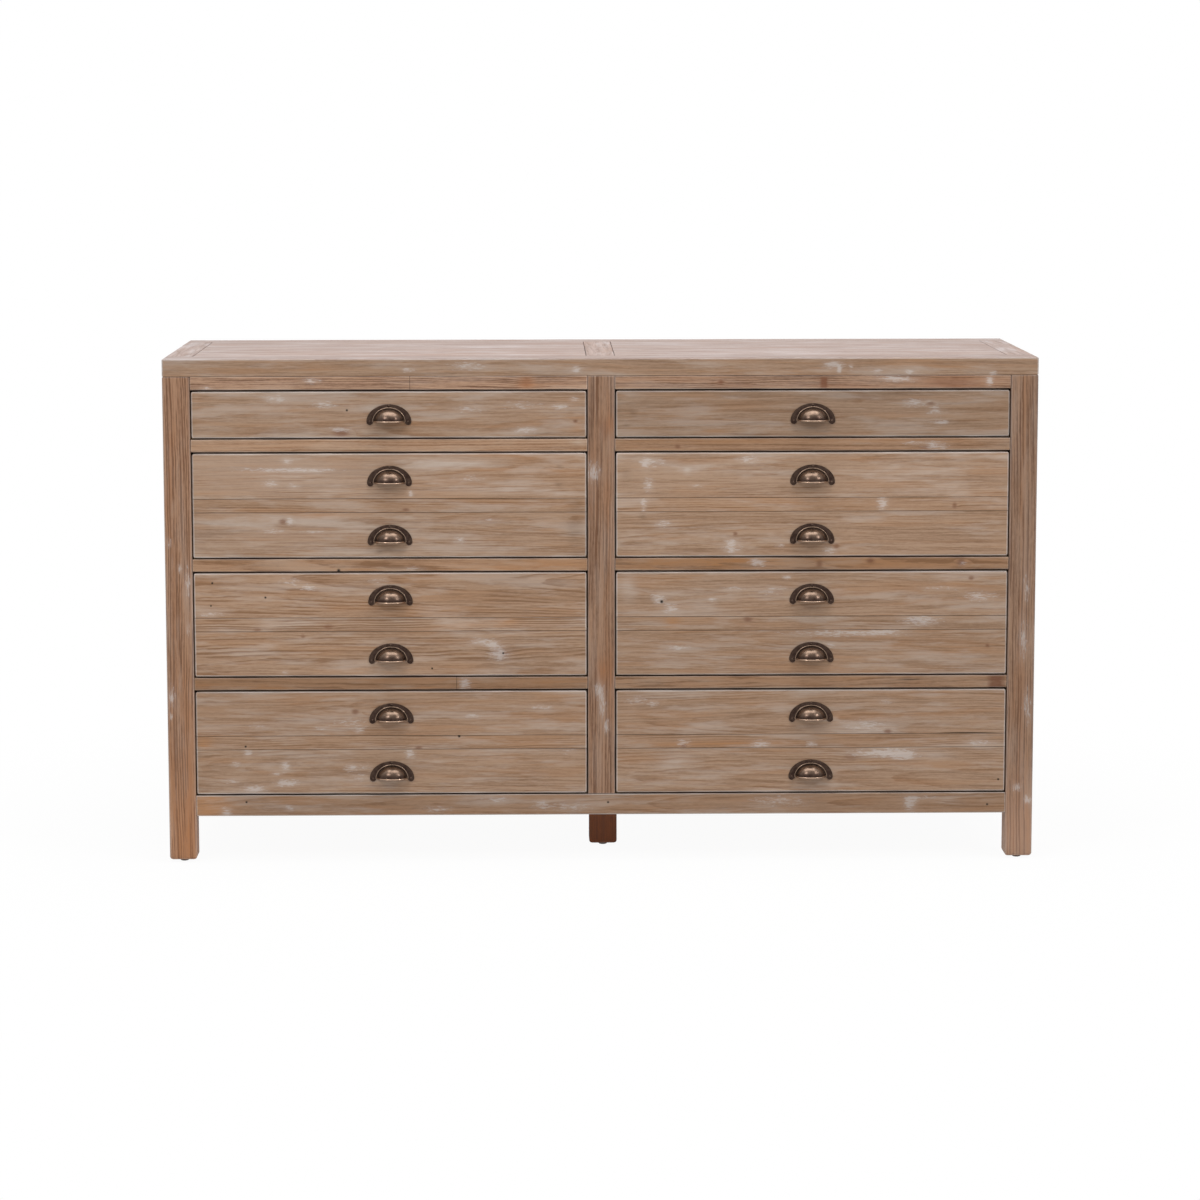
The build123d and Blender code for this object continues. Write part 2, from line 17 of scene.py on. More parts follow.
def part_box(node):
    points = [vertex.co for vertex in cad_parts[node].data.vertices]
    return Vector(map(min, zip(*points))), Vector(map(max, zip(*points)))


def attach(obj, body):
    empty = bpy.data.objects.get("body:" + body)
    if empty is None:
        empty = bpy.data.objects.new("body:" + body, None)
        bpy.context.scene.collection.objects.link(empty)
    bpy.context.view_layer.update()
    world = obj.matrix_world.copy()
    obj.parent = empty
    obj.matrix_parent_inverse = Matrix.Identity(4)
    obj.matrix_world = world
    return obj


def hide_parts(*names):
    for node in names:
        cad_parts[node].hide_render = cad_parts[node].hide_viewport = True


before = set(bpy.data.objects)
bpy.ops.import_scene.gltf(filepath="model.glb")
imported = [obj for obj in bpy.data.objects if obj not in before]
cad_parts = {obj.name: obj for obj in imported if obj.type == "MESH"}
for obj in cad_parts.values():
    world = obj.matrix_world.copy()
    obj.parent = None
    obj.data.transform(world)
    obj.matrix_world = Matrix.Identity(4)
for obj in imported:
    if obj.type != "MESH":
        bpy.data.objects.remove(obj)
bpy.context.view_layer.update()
bpy.context.scene.view_settings.view_transform = "Standard"
MM = 0.001
X, Y, Z = 0, 1, 2

# %% [markdown]
# The camera
#
# The view is a long lens from a little above the top, slightly left of the middle. Its place and turn were
# fitted to the straight edges of the chest, so they are written as angles and metres rather than found by
# eye.

# %% Camera
FRONT_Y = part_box("front_left_post")[0].y
CAMERA_FROM_FRONT = Vector((-0.1197, -6.6092, 1.3810))
PITCH, YAW, ROLL = (math.radians(angle) for angle in (7.688, 1.016, -0.065))
SENSOR = 36.0
LENS = 108.788

camera = bpy.data.objects.new("camera", bpy.data.cameras.new("camera"))
camera.data.sensor_width = SENSOR
camera.data.lens = LENS
camera.data.clip_end = 100
camera.location = CAMERA_FROM_FRONT + Vector((0, FRONT_Y, 0))
forward = Vector((
    math.sin(YAW) * math.cos(PITCH),
    math.cos(YAW) * math.cos(PITCH),
    -math.sin(PITCH),
))
aim = forward.to_track_quat("-Z", "Y").to_matrix() @ Matrix.Rotation(ROLL, 3, "Z")
camera.rotation_euler = aim.to_euler()
bpy.context.collection.objects.link(camera)
bpy.context.scene.camera = camera
print("camera at", [round(v, 3) for v in camera.location])

# %% [markdown]
# Shader sums as plain expressions
#
# A node tree is hard to read as a list of links. A wire here stands for one socket, and adding or
# multiplying wires adds the Math nodes that do it. Everything else comes from one method that takes a
# node's type, its settings and what goes into its sockets.


# %% Wires and finishes
class Wire:
    """An output socket of a finish, with arithmetic."""

    def __init__(self, finish, socket):
        self.finish = finish
        self.socket = socket

    def math(self, operation, *others):
        sockets = dict(enumerate((self, *others)))
        return self.finish.node("Math", {"operation": operation}, sockets)

    def __add__(self, other):
        return self.math("ADD", other)

    __radd__ = __add__

    def __mul__(self, other):
        return self.math("MULTIPLY", other)

    __rmul__ = __mul__

    def __sub__(self, other):
        return self.math("SUBTRACT", other)

    def __rsub__(self, other):
        return (self * -1) + other

    def __truediv__(self, other):
        return self.math("DIVIDE", other)

    def held(self):
        """The value kept between 0 and 1."""
        return self.finish.node("Clamp", {}, {"Value": self})

    def step(self, low, high):
        """A soft step: 0 below low, 1 above high."""
        settings = {"interpolation_type": "SMOOTHSTEP"}
        sockets = {"Value": self, "From Min": low, "From Max": high}
        return self.finish.node("MapRange", settings, sockets)


def paint(red, green, blue):
    """A colour written as on a colour chart, 0 to 255, as the linear colour that shaders take."""
    chart = (value / 255 for value in (red, green, blue))
    return tuple(v / 12.92 if v < 0.04045 else ((v + 0.055) / 1.055) ** 2.4 for v in chart) + (1,)


class Finish:
    """A node tree and the one method that adds nodes to it."""

    def __init__(self, tree):
        self.tree = tree
        self.tree.nodes.clear()

    def node(self, kind, settings, sockets, out=0):
        """A new node with its settings and what goes into its sockets, as a wire from one output."""
        made = self.tree.nodes.new("ShaderNode" + kind)
        for name, value in settings.items():
            setattr(made, name, value)
        for name, value in sockets.items():
            if isinstance(value, Wire):
                self.tree.links.new(value.socket, made.inputs[name])
            else:
                made.inputs[name].default_value = value
        return Wire(self, made.outputs[out]) if len(made.outputs) else made

    def painted(self, name, out="Fac"):
        """A value that was painted on the mesh."""
        return self.node("Attribute", {"attribute_name": name}, {}, out)

    def parts(self, vector):
        """The three components of a vector."""
        first = self.node("SeparateXYZ", {}, {0: vector})
        return [Wire(self, socket) for socket in first.socket.node.outputs]

    def cloud(self, vector, factors, detail=2.0, rough=0.5):
        """Noise from 0 to 1 in space that is stretched by three factors."""
        wide = self.node("VectorMath", {"operation": "MULTIPLY"}, {0: vector, 1: factors})
        sockets = {"Vector": wide, "Scale": 1.0, "Detail": detail, "Roughness": rough}
        return self.node("TexNoise", {}, sockets)

    def blend(self, first, second, share):
        """A mix of two colours."""
        return self.node("Mix", {"data_type": "RGBA"}, {0: share, 6: first, 7: second}, 2)

    def seen_by(self, *rays):
        """1 for the named kinds of ray, such as those from the camera, and 0 for the rest."""
        path = self.node("LightPath", {}, {}).socket.node.outputs
        return sum(Wire(self, path[ray]) for ray in rays).held()

    def output(self, shader, kind="OutputMaterial"):
        self.node(kind, {}, {0: shader})


def new_material(name):
    """An empty material and its finish."""
    material = bpy.data.materials.new(name)
    material.use_nodes = True
    return material, Finish(material.node_tree)


print("a warm tan as linear colour:", [round(v, 3) for v in paint(157, 129, 110)])

# %% [markdown]
# Light and floor
#
# The chest stands in an even white studio. A white world gives the soft fill, two softboxes in front make
# the paired glints on the pulls, and a long one overhead brightens the top. The floor and the world show
# plain white to the camera, while the floor still takes a soft shadow close to the legs. From below the
# floor is clear, so that the underside of the chest can be seen.

# %% Studio
AMBIENT = 0.36
WHITE = (1, 1, 1, 1)

world = bpy.data.worlds.new("studio")
world.use_nodes = True
bpy.context.scene.world = world
sky = Finish(world.node_tree)
shown = sky.seen_by("Is Camera Ray", "Is Glossy Ray", "Is Transmission Ray")
sky.output(
    sky.node("Background", {}, {"Color": WHITE, "Strength": shown * (1 - AMBIENT) + AMBIENT}),
    "OutputWorld",
)

FLOOR_SIZE = 40.0
FLOOR_GREY = (0.9, 0.9, 0.9, 1)
SHADOW_SHARE = 0.05
SHADOW_NEAR, SHADOW_FAR = 0.6, 1.8
corner = FLOOR_SIZE / 2
floor_corners = [(-corner, -corner, 0), (corner, -corner, 0), (corner, corner, 0), (-corner, corner, 0)]
floor_mesh = bpy.data.meshes.new("floor")
floor_mesh.from_pydata(floor_corners, [], [(0, 1, 2, 3)])
floor = bpy.data.objects.new("floor", floor_mesh)
bpy.context.collection.objects.link(floor)
floor_material, ground = new_material("floor_white")
place = ground.node("NewGeometry", {}, {}, "Position")
away = ground.node("VectorMath", {"operation": "LENGTH"}, {0: place}, "Value")
shadow = SHADOW_SHARE * (1 - away.step(SHADOW_NEAR, SHADOW_FAR))
from_above = ground.node("MixShader", {}, {
    0: ground.seen_by("Is Camera Ray", "Is Glossy Ray") * (1 - shadow),
    1: ground.node("BsdfDiffuse", {}, {"Color": FLOOR_GREY}),
    2: ground.node("Emission", {}, {"Color": WHITE, "Strength": 1.0}),
})
ground.output(ground.node("MixShader", {}, {
    0: ground.node("NewGeometry", {}, {}, "Backfacing"),
    1: from_above,
    2: ground.node("BsdfTransparent", {}, {}),
}))
floor_mesh.materials.append(floor_material)


def softbox(name, place, target, size, watts):
    """A rectangular lamp aimed at a point."""
    lamp = bpy.data.lights.new(name, "AREA")
    lamp.shape = "RECTANGLE"
    lamp.size, lamp.size_y = size
    lamp.energy = watts
    holder = bpy.data.objects.new(name, lamp)
    holder.location = place
    holder.rotation_euler = (Vector(target) - Vector(place)).to_track_quat("-Z", "Y").to_euler()
    bpy.context.collection.objects.link(holder)


CHEST_MIDDLE, TOP_MIDDLE = (0, FRONT_Y, 0.5), (0, 0, 0.9)
SIDE_BOX, SIDE_WATTS = (1.1, 1.1), 62
OVERHEAD_BOX, OVERHEAD_WATTS = (3.6, 2.2), 70
softbox("left_box", (-2.4, -3.7, 3.7), CHEST_MIDDLE, SIDE_BOX, SIDE_WATTS)
softbox("right_box", (3.6, -3.1, 3.5), CHEST_MIDDLE, SIDE_BOX, SIDE_WATTS)
softbox("overhead_box", (0, -0.6, 3.4), TOP_MIDDLE, OVERHEAD_BOX, OVERHEAD_WATTS)
print("lights:", [light.name for light in bpy.data.lights])

# %% [markdown]
# Reading the boards out of the frame
#
# Each node of the frame holds one or more solids. Splitting a node's mesh into islands gives the box of
# every board, so no size has to be written twice.


# %% Boxes of the solids
class Box:
    """The lowest and highest corner of a solid, in metres."""

    def __init__(self, low, high):
        self.low = np.array(low, float)
        self.high = np.array(high, float)
        self.size = self.high - self.low
        self.middle = (self.low + self.high) / 2

    def cut_to(self, axis, low, high):
        """The same box with one axis kept between two planes, as where a tenon is hidden in a post."""
        new_low, new_high = self.low.copy(), self.high.copy()
        new_low[axis] = max(new_low[axis], low)
        new_high[axis] = min(new_high[axis], high)
        return Box(new_low, new_high)

    def grown(self, amount):
        return Box(self.low - amount, self.high + amount)


def solids_of(node):
    """A box for every separate solid of a node, from the lowest up and from left to right."""
    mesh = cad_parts[node].data
    points = np.empty(len(mesh.vertices) * 3)
    mesh.vertices.foreach_get("co", points)
    spots, number = np.unique(np.round(points.reshape(-1, 3), 6), axis=0, return_inverse=True)
    ends = np.empty(len(mesh.edges) * 2, int)
    mesh.edges.foreach_get("vertices", ends)
    ends = number.ravel()[ends].reshape(-1, 2)
    group = np.arange(len(spots))
    while True:
        lowest = np.minimum(group[ends[:, 0]], group[ends[:, 1]])
        merged = group.copy()
        np.minimum.at(merged, ends[:, 0], lowest)
        np.minimum.at(merged, ends[:, 1], lowest)
        if (merged == group).all():
            break
        group = merged
    boxes = [Box(spots[group == g].min(0), spots[group == g].max(0)) for g in np.unique(group)]
    return sorted(boxes, key=lambda box: tuple(np.round(box.low[[Z, X, Y]], 4)))


print("boards in a deep front:", [tuple(np.round(b.size, 4)) for b in solids_of("left_drawer_2_front")])

# %% [markdown]
# The skin of a board
#
# A board is a lattice of cells. The outside of the filled cells is its skin, so a notch is just cells left
# empty. Lattice lines crowd together near the arrises, where points are pulled onto an ellipse to soften
# the edge, a little unevenly, as wear does it.

# %% Board skin
EASE_STEPS = (0, 0.3, 0.65, 1)
RIM_FADE = 1.0 * MM


def lattice_lines(low, high, ease_low, ease_high, step, extra):
    """Places of the lattice along one axis, close in the eased corners and even between."""
    near = [low + ease_low * share for share in EASE_STEPS] + [low + ease_low + RIM_FADE]
    far = [high - ease_high * share for share in EASE_STEPS] + [high - ease_high - RIM_FADE]
    count = max(2, round((far[-1] - near[-1]) / step) + 1)
    lines = np.concatenate([near, np.linspace(near[-1], far[-1], count), far, extra])
    return np.unique(np.round(np.clip(lines, low, high), 5))


def skin(axes, filled):
    """Quads round the filled cells, as running numbers of lattice points."""
    shape = [len(axis) for axis in axes]
    quads = []
    for axis in range(3):
        across = ((axis + 1) % 3, (axis + 2) % 3)
        padded = np.pad(filled, [(1, 1) if i == axis else (0, 0) for i in range(3)])
        change = np.diff(padded.astype(np.int8), axis=axis)
        for sign in (1, -1):
            cells = np.argwhere(change == sign)
            corners = []
            for shift in ((0, 0), (1, 0), (1, 1), (0, 1)):
                corner = cells.copy()
                corner[:, across[0]] += shift[0]
                corner[:, across[1]] += shift[1]
                corners.append(np.ravel_multi_index(corner.T, shape))
            quad = np.stack(corners, axis=1)
            quads.append(quad if sign < 0 else quad[:, ::-1])
    return np.concatenate(quads)


def wander(place, seed, wave):
    """A slow uneven curve between -1 and 1 along a line of places."""
    rng = np.random.default_rng(seed)
    curve = np.zeros_like(place)
    for harmonic in (1, 1.7, 2.9, 4.3):
        curve += np.sin(place * math.tau * harmonic / wave + rng.uniform(0, math.tau)) / harmonic
    return curve / 2


print("an eased edge has lines at", [round(2.2 * share, 2) for share in EASE_STEPS], "mm")

# %% [markdown]
# Where a board sat in the log, and its marks
#
# The figure of a plank depends on how it was sawn. Points are given places relative to the pith: far to the
# side for the straight lines of a post, just behind the face for the arched figure of a drawer front. The
# marks that give each board its own face are listed board by board: how far along the board and how far up
# or across it they lie, in millimetres, then their half length and half breadth, and how strong they are.
# The glow, pale and lightening marks at the foot of each front post are painted light, thrown up from the
# white floor.


# %% Sawing plan
class Sawn:
    """How a board lay in its log, and how it took the stain and the lime."""

    def __init__(self, seed, quarter=False, tone=0.0, lime=0.0, warm=0.0, year=6.0, figure=0.5):
        rng = np.random.default_rng(seed)
        self.seed = seed
        self.tint = [value + rng.uniform(-0.1, 0.1) for value in (tone, lime, warm)]
        self.year = year * MM * rng.uniform(0.85, 1.15)
        self.figure = figure
        self.along = rng.uniform(0, 40)
        side = rng.choice((-1, 1))
        if quarter:
            self.aside = rng.uniform(0.09, 0.16) * side
            self.behind = rng.uniform(0.01, 0.04)
            self.lean = rng.uniform(-0.006, 0.006)
            self.taper = rng.uniform(-0.004, 0.004)
        else:
            self.aside = rng.uniform(-0.03, 0.03)
            self.behind = rng.uniform(0.03, 0.08)
            self.lean = rng.uniform(-0.012, 0.012)
            self.taper = rng.uniform(0.012, 0.03) * side

    def places(self, points, box, grain, broad, face):
        """Points as places in the log: along the trunk, and across it from the pith."""
        along, across, deep = (points[:, axis] - box.middle[axis] for axis in (grain, broad, face))
        return np.stack([
            along + self.along,
            across - self.aside + along * self.lean,
            deep + self.behind + along * self.taper,
        ], axis=1)


class Mark:
    """A mark of growth or use on a board's face, or a patch of painted light. Place and half sizes are in
    mm.
    """

    def __init__(self, kind, along, up, long, broad, strength):
        self.kind = kind
        self.along, self.up, self.long, self.broad = (value * MM for value in (along, up, long, broad))
        self.strength = strength

    def offset(self, points, box, grain, broad):
        """How far points lie from the mark, lengthways and crossways, with 1 at its rim."""
        lengthways = (points[:, grain] - box.low[grain] - self.along) / self.long
        crossways = (points[:, broad] - box.low[broad] - self.up) / self.broad
        return lengthways, crossways


FAINT, SOFT, CLEAR, STRONG = 0.4, 0.6, 0.8, 1.0
JOINT_HALF, WHOLE_BREADTH = 0.6, 1000


def marker(kind):
    """A short way to write many marks of one kind."""
    return lambda along, up, long, broad, strength=CLEAR: Mark(kind, along, up, long, broad, strength)


chalk, pale, glow, bleach = (marker(kind) for kind in ("chalk", "pale", "glow", "bleach"))
knot, stain, crack, plug = (marker(kind) for kind in ("knot", "stain", "crack", "plug"))


def hole(along, up, radius=2):
    """A nail hole."""
    return Mark("hole", along, up, radius, radius, STRONG)


def joint(along):
    """A butt joint, a fine dark line across the whole board."""
    return Mark("crack", along, 0, JOINT_HALF, WHOLE_BREADTH, SOFT)


MARK_LINES = np.linspace(-2, 2, 9)
PAINTED = ("edge", "chalk", "pale", "knot", "swirl", "dark", "glow")
print("kinds of paint:", PAINTED)

# %% Marks on the left drawers
LOWER, STRIP, UPPER = 0, 1, 2
MARKS = {
    ("left_drawer_1", LOWER): (
        chalk(154, 72, 15, 5), chalk(244, 61, 18, 5), pale(145, 43, 22, 4), pale(309, 52, 26, 4),
        hole(284, 51), knot(273, 10, 15, 8), chalk(275, 16, 18, 3, STRONG), chalk(502, 52, 26, 5, SOFT),
        chalk(601, 59, 29, 6, SOFT), chalk(674, 57, 13, 4), chalk(699, 70, 7, 3), chalk(610, 14, 18, 4),
        knot(701, 30, 4, 3), glow(707, 19, 7, 5), stain(646, 7, 26, 3),
    ),
    ("left_drawer_2", UPPER): (
        chalk(176, 53, 62, 3, STRONG), chalk(174, 69, 7, 5), chalk(143, 28, 11, 5),
        chalk(185, 23, 7, 5, SOFT), chalk(399, 9, 4, 4, STRONG), chalk(509, 36, 22, 5, SOFT),
        pale(481, 67, 55, 7), pale(564, 14, 73, 5), pale(190, 45, 180, 40, SOFT), stain(672, 58, 6, 4),
        stain(670, 25, 7, 5),
    ),
    ("left_drawer_2", STRIP): (knot(390, 5, 7, 3), stain(703, 12, 16, 15)),
    ("left_drawer_2", LOWER): (
        knot(165, 67, 7, 5), chalk(178, 67, 5, 5, STRONG), chalk(147, 49, 15, 3),
        chalk(222, 48, 16, 3, SOFT), glow(244, 78, 33, 4), chalk(489, 32, 9, 4),
        chalk(542, 70, 18, 3, SOFT), stain(341, 11, 7, 3), stain(324, 53, 11, 2), stain(699, 49, 16, 40),
        pale(150, 55, 160, 30, FAINT),
    ),
    ("left_drawer_3", UPPER): (
        hole(131, 38), hole(34, 65), hole(31, 23, 1.6), chalk(177, 66, 18, 7, SOFT), chalk(212, 55, 13, 4),
        chalk(342, 69, 15, 4, SOFT), chalk(28, 7, 18, 3), stain(580, 42, 170, 60, FAINT),
    ),
    ("left_drawer_3", STRIP): (
        knot(246, 9, 9, 5, SOFT), knot(116, 4, 7, 3, SOFT), glow(575, 19, 13, 6, STRONG),
    ),
    ("left_drawer_3", LOWER): (
        knot(199, 75, 4, 4, SOFT), stain(436, 50, 5, 2), hole(436, 14, 1.8), chalk(526, 64, 16, 5),
        chalk(548, 58, 7, 5, STRONG), knot(564, 42, 13, 9, SOFT), chalk(561, 40, 13, 11, STRONG),
        hole(567, 42, 1.8), chalk(166, 7, 5, 3), stain(600, 30, 170, 60, FAINT),
    ),
    ("left_drawer_4", UPPER): (
        knot(294, 45, 7, 5), chalk(285, 25, 29, 7, SOFT), chalk(299, 10, 7, 4), chalk(115, 18, 13, 4, SOFT),
        chalk(233, 14, 11, 3, SOFT), chalk(637, 52, 18, 3), chalk(510, 37, 11, 3),
    ),
    ("left_drawer_4", STRIP): (
        hole(91, 6), hole(485, 24, 2.5), glow(15, 14, 11, 9, STRONG), knot(410, 3, 7, 3),
    ),
    ("left_drawer_4", LOWER): (
        chalk(95, 78, 6, 6, STRONG), chalk(163, 53, 7, 6, STRONG), chalk(167, 21, 18, 5, STRONG),
        chalk(104, 10, 17, 5, STRONG), chalk(67, 24, 13, 4, SOFT), chalk(72, 57, 6, 4),
        chalk(148, 38, 9, 2), chalk(285, 49, 9, 6), chalk(311, 49, 11, 4, SOFT),
        chalk(298, 30, 11, 6, SOFT), chalk(394, 75, 7, 7, STRONG), chalk(691, 78, 13, 5, SOFT),
    ),
}
print("boards with marks:", len(MARKS))

# %% Marks on the right drawers
MARKS |= {
    ("right_drawer_1", LOWER): (
        stain(32, 45, 6, 4), stain(19, 22, 6, 3), pale(23, 78, 18, 4), stain(237, 79, 73, 5, SOFT),
        knot(576, 61, 7, 3), chalk(549, 62, 18, 6), chalk(585, 47, 11, 7), chalk(596, 26, 11, 3, STRONG),
        pale(411, 75, 26, 4), stain(484, 77, 73, 6, SOFT), glow(181, 10, 18, 4),
    ),
    ("right_drawer_2", UPPER): (
        chalk(54, 64, 7, 7), chalk(74, 65, 18, 6, SOFT), chalk(60, 24, 7, 9), stain(19, 43, 11, 15, SOFT),
        chalk(148, 22, 11, 2, SOFT), pale(130, 50, 5, 5), chalk(242, 70, 15, 5),
        glow(504, 23, 73, 11, FAINT),
    ),
    ("right_drawer_2", STRIP): (chalk(51, 15, 4, 13), chalk(490, 17, 7, 11, STRONG), knot(622, 10, 4, 5)),
    ("right_drawer_2", LOWER): (
        stain(49, 74, 7, 5), chalk(85, 61, 11, 5), knot(219, 42, 4, 4), chalk(212, 27, 9, 6),
        chalk(214, 13, 13, 6), chalk(302, 20, 7, 4, SOFT), chalk(392, 10, 9, 5), knot(405, 19, 5, 5),
    ),
    ("right_drawer_3", UPPER): (
        pale(23, 56, 11, 22), chalk(78, 34, 9, 7, STRONG), hole(84, 28, 3), chalk(102, 15, 11, 6, STRONG),
        chalk(176, 32, 7, 3), chalk(315, 72, 6, 3, STRONG), chalk(289, 48, 22, 7, SOFT),
        chalk(217, 52, 16, 3, SOFT), knot(654, 70, 5, 4), chalk(669, 36, 22, 7),
        chalk(599, 51, 26, 3, SOFT),
    ),
    ("right_drawer_3", STRIP): (
        glow(104, 15, 11, 7, STRONG), knot(243, 20, 9, 5), chalk(562, 18, 26, 7, STRONG),
        knot(551, 17, 9, 6, FAINT),
    ),
    ("right_drawer_3", LOWER): (
        chalk(113, 51, 16, 4), chalk(414, 77, 73, 5), chalk(396, 55, 7, 4, SOFT), knot(686, 53, 4, 3),
        chalk(497, 79, 28, 4, SOFT),
    ),
    ("right_drawer_4", UPPER): (
        chalk(38, 64, 18, 7, SOFT), chalk(69, 58, 6, 4), stain(69, 20, 6, 2), chalk(462, 15, 33, 9, SOFT),
        pale(434, 6, 55, 6), knot(503, 4, 7, 5), chalk(499, 61, 11, 4, SOFT), crack(651, 1, 50, 1.3),
    ),
    ("right_drawer_4", STRIP): (
        glow(231, 8, 83, 4, STRONG), chalk(125, 10, 9, 6), knot(125, 4, 6, 3), chalk(266, 6, 13, 6, STRONG),
        chalk(362, 6, 7, 5, STRONG), chalk(675, 7, 18, 5),
    ),
    ("right_drawer_4", LOWER): (
        pale(114, 63, 26, 11), chalk(490, 73, 37, 6, STRONG), chalk(533, 68, 17, 7, STRONG),
        pale(592, 68, 22, 6), knot(434, 65, 11, 7, FAINT), hole(709, 22),
    ),
}
print("boards with marks:", len(MARKS))

# %% Marks on the frame and the top
MARKS |= {
    ("upper_rail", 0): (
        chalk(222, 17, 11, 4), chalk(30, 3, 9, 3, SOFT), joint(401), glow(613, 13, 11, 9, STRONG),
        knot(613, 13, 11, 9, FAINT),
    ),
    ("upper_rail", 1): (
        knot(193, 13, 5, 5), plug(382, 12, 7, 11, STRONG), chalk(515, 18, 27, 4, STRONG),
        chalk(685, 15, 5, 7, STRONG), glow(617, 11, 58, 11), knot(617, 11, 50, 10, SOFT),
    ),
    ("divider_1", 0): (pale(708, 16, 11, 3),),
    ("divider_1", 1): (
        knot(115, 9, 5, 4), knot(570, 5, 11, 4, SOFT), chalk(587, 9, 17, 7), chalk(543, 14, 15, 3, SOFT),
    ),
    ("divider_2", 0): (hole(268, 2, 3), chalk(403, 5, 13, 3, SOFT), glow(638, 11, 73, 6, SOFT)),
    ("divider_2", 1): (
        glow(203, 15, 28, 7, STRONG), chalk(262, 14, 11, 6, STRONG), knot(376, 12, 6, 6),
        knot(470, 17, 7, 5), knot(637, 14, 7, 7), chalk(640, 11, 6, 4, SOFT), glow(433, 14, 220, 7, SOFT),
    ),
    ("divider_3", 0): (chalk(498, 11, 7, 9, STRONG), joint(483), pale(376, 6, 18, 3)),
    ("divider_3", 1): (plug(705, 11, 15, 13, STRONG), crack(546, 16, 22, 1)),
    ("bottom_rail", 0): (
        glow(22, 20, 30, 25, STRONG), bleach(22, 20, 30, 40, CLEAR), hole(93, 26),
        chalk(56, 7, 7, 6, STRONG), chalk(171, 14, 6, 5), chalk(446, 11, 19, 4), chalk(553, 29, 19, 5),
        chalk(639, 21, 9, 6, SOFT), chalk(685, 15, 41, 6, SOFT), hole(762, 23),
        chalk(1084, 25, 41, 9, SOFT), chalk(1324, 18, 9, 11, STRONG), chalk(1348, 29, 28, 3, SOFT),
        hole(1466, 16),
    ),
    # At the foot of both front posts, the glow, pale and lightening marks are painted light thrown up from
    # the white floor.
    ("front_left_post", 0): (
        chalk(515, 41, 22, 4), chalk(433, 40, 9, 3, SOFT), chalk(545, 27, 6, 3), chalk(305, 8, 15, 5),
        chalk(270, 5, 7, 3, SOFT), chalk(591, 8, 7, 4, SOFT), glow(36, 25, 110, 44, FAINT),
        bleach(30, 25, 70, 60, SOFT),
    ),
    ("front_right_post", 0): (
        chalk(502, 33, 17, 4), chalk(409, 29, 26, 6), chalk(282, 38, 24, 6), chalk(130, 20, 6, 6),
        chalk(107, 41, 6, 5, STRONG), pale(20, 25, 90, 40, SOFT), glow(20, 25, 90, 40, STRONG),
        bleach(30, 25, 70, 60, CLEAR),
    ),
    ("centre_stile", 0): (
        chalk(598, 11, 13, 9, STRONG), chalk(194, 20, 11, 6), chalk(164, 27, 18, 5), chalk(126, 34, 9, 4),
        glow(684, 42, 15, 7), glow(229, 29, 17, 11), knot(675, 31, 22, 7, FAINT),
    ),
    ("top_edge", 0): (
        chalk(449, 11, 11, 3), chalk(554, 18, 26, 6), chalk(755, 11, 7, 5, STRONG),
        chalk(1224, 19, 13, 5, STRONG), chalk(1235, 10, 3, 5, STRONG), chalk(1257, 16, 3, 5, SOFT),
        chalk(1304, 7, 7, 4), chalk(1363, 6, 7, 3, STRONG), chalk(1516, 2, 5, 4, STRONG),
    ),
}
print("boards with marks:", len(MARKS))

# %% [markdown]
# Making a board
#
# The lattice, the sawing plan and the marks come together here. Liming shows white only on arrises that are
# truly rounded, so a tight seam between two boards stays dark. Just behind the front, shade is painted
# where boards border the gaps round the drawers.


# %% Board maker
SHARP_FROM = math.radians(38)
ROUND_FROM = 1 * MM
CROSS_STEP = 0.7
FOOT_LINES = 1 - np.cos(np.linspace(0, math.pi / 2, 9))
WEAR, WEAR_WAVE = 0.2, 0.16
SEAM_WAVE = 0.5
KNOT_SWIRL, SWIRL_LONG, SWIRL_BROAD = 0.6, 2.2, 1.4
STAIN_DEPTH = 0.25
# Depths behind the front of the painted shade in the gaps round the drawers: it fades in, stays full, then
# fades out.
GAP_START, GAP_FADE = 0.7 * MM, 0.9 * MM
GAP_DEEP, GAP_END = 6 * MM, 11 * MM
GAP_LINES = (GAP_START, GAP_START + GAP_FADE, GAP_DEEP, GAP_END)
OPENINGS_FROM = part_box("bottom_front_rail")[1].z - 5 * MM


def lattice(box, grain, broad, eases, cuts, step, marks, foot, gap):
    """Lattice lines of a board on three axes, extra ones round marks, notches, foot and painted gap shade.
    """
    extra = [[], [], []]
    for mark in marks:
        extra[grain].extend(box.low[grain] + mark.along + mark.long * MARK_LINES)
        if mark.broad < box.size[broad]:
            extra[broad].extend(box.low[broad] + mark.up + mark.broad * MARK_LINES)
    for cut in cuts:
        for axis in range(3):
            extra[axis].extend((cut.low[axis], cut.high[axis]))
    if foot:
        extra[Z].extend(box.low[Z] + foot * FOOT_LINES)
    if gap:
        extra[Y].extend(FRONT_Y + depth for depth in GAP_LINES)
    steps = [step if axis == grain else step * CROSS_STEP for axis in range(3)]
    return [lattice_lines(box.low[a], box.high[a], *eases[:, a], steps[a], extra[a]) for a in range(3)]


def eased(points, box, eases, seed, grain):
    """Points pulled onto ellipses at the arrises, worn a little unevenly."""
    core = np.clip(points, box.low + eases[0], box.high - eases[1])
    reach = np.where(points < core, eases[0], eases[1])
    pull = (points - core) / np.maximum(reach, 1e-9)
    far = np.linalg.norm(pull, axis=1)
    corner = far > 1.001
    pull[corner] /= far[corner, None]
    soft = core + pull * reach
    wear = WEAR + WEAR * wander(points[:, grain], seed, WEAR_WAVE)
    soft[corner] += ((core - soft) * wear[:, None])[corner]
    return soft


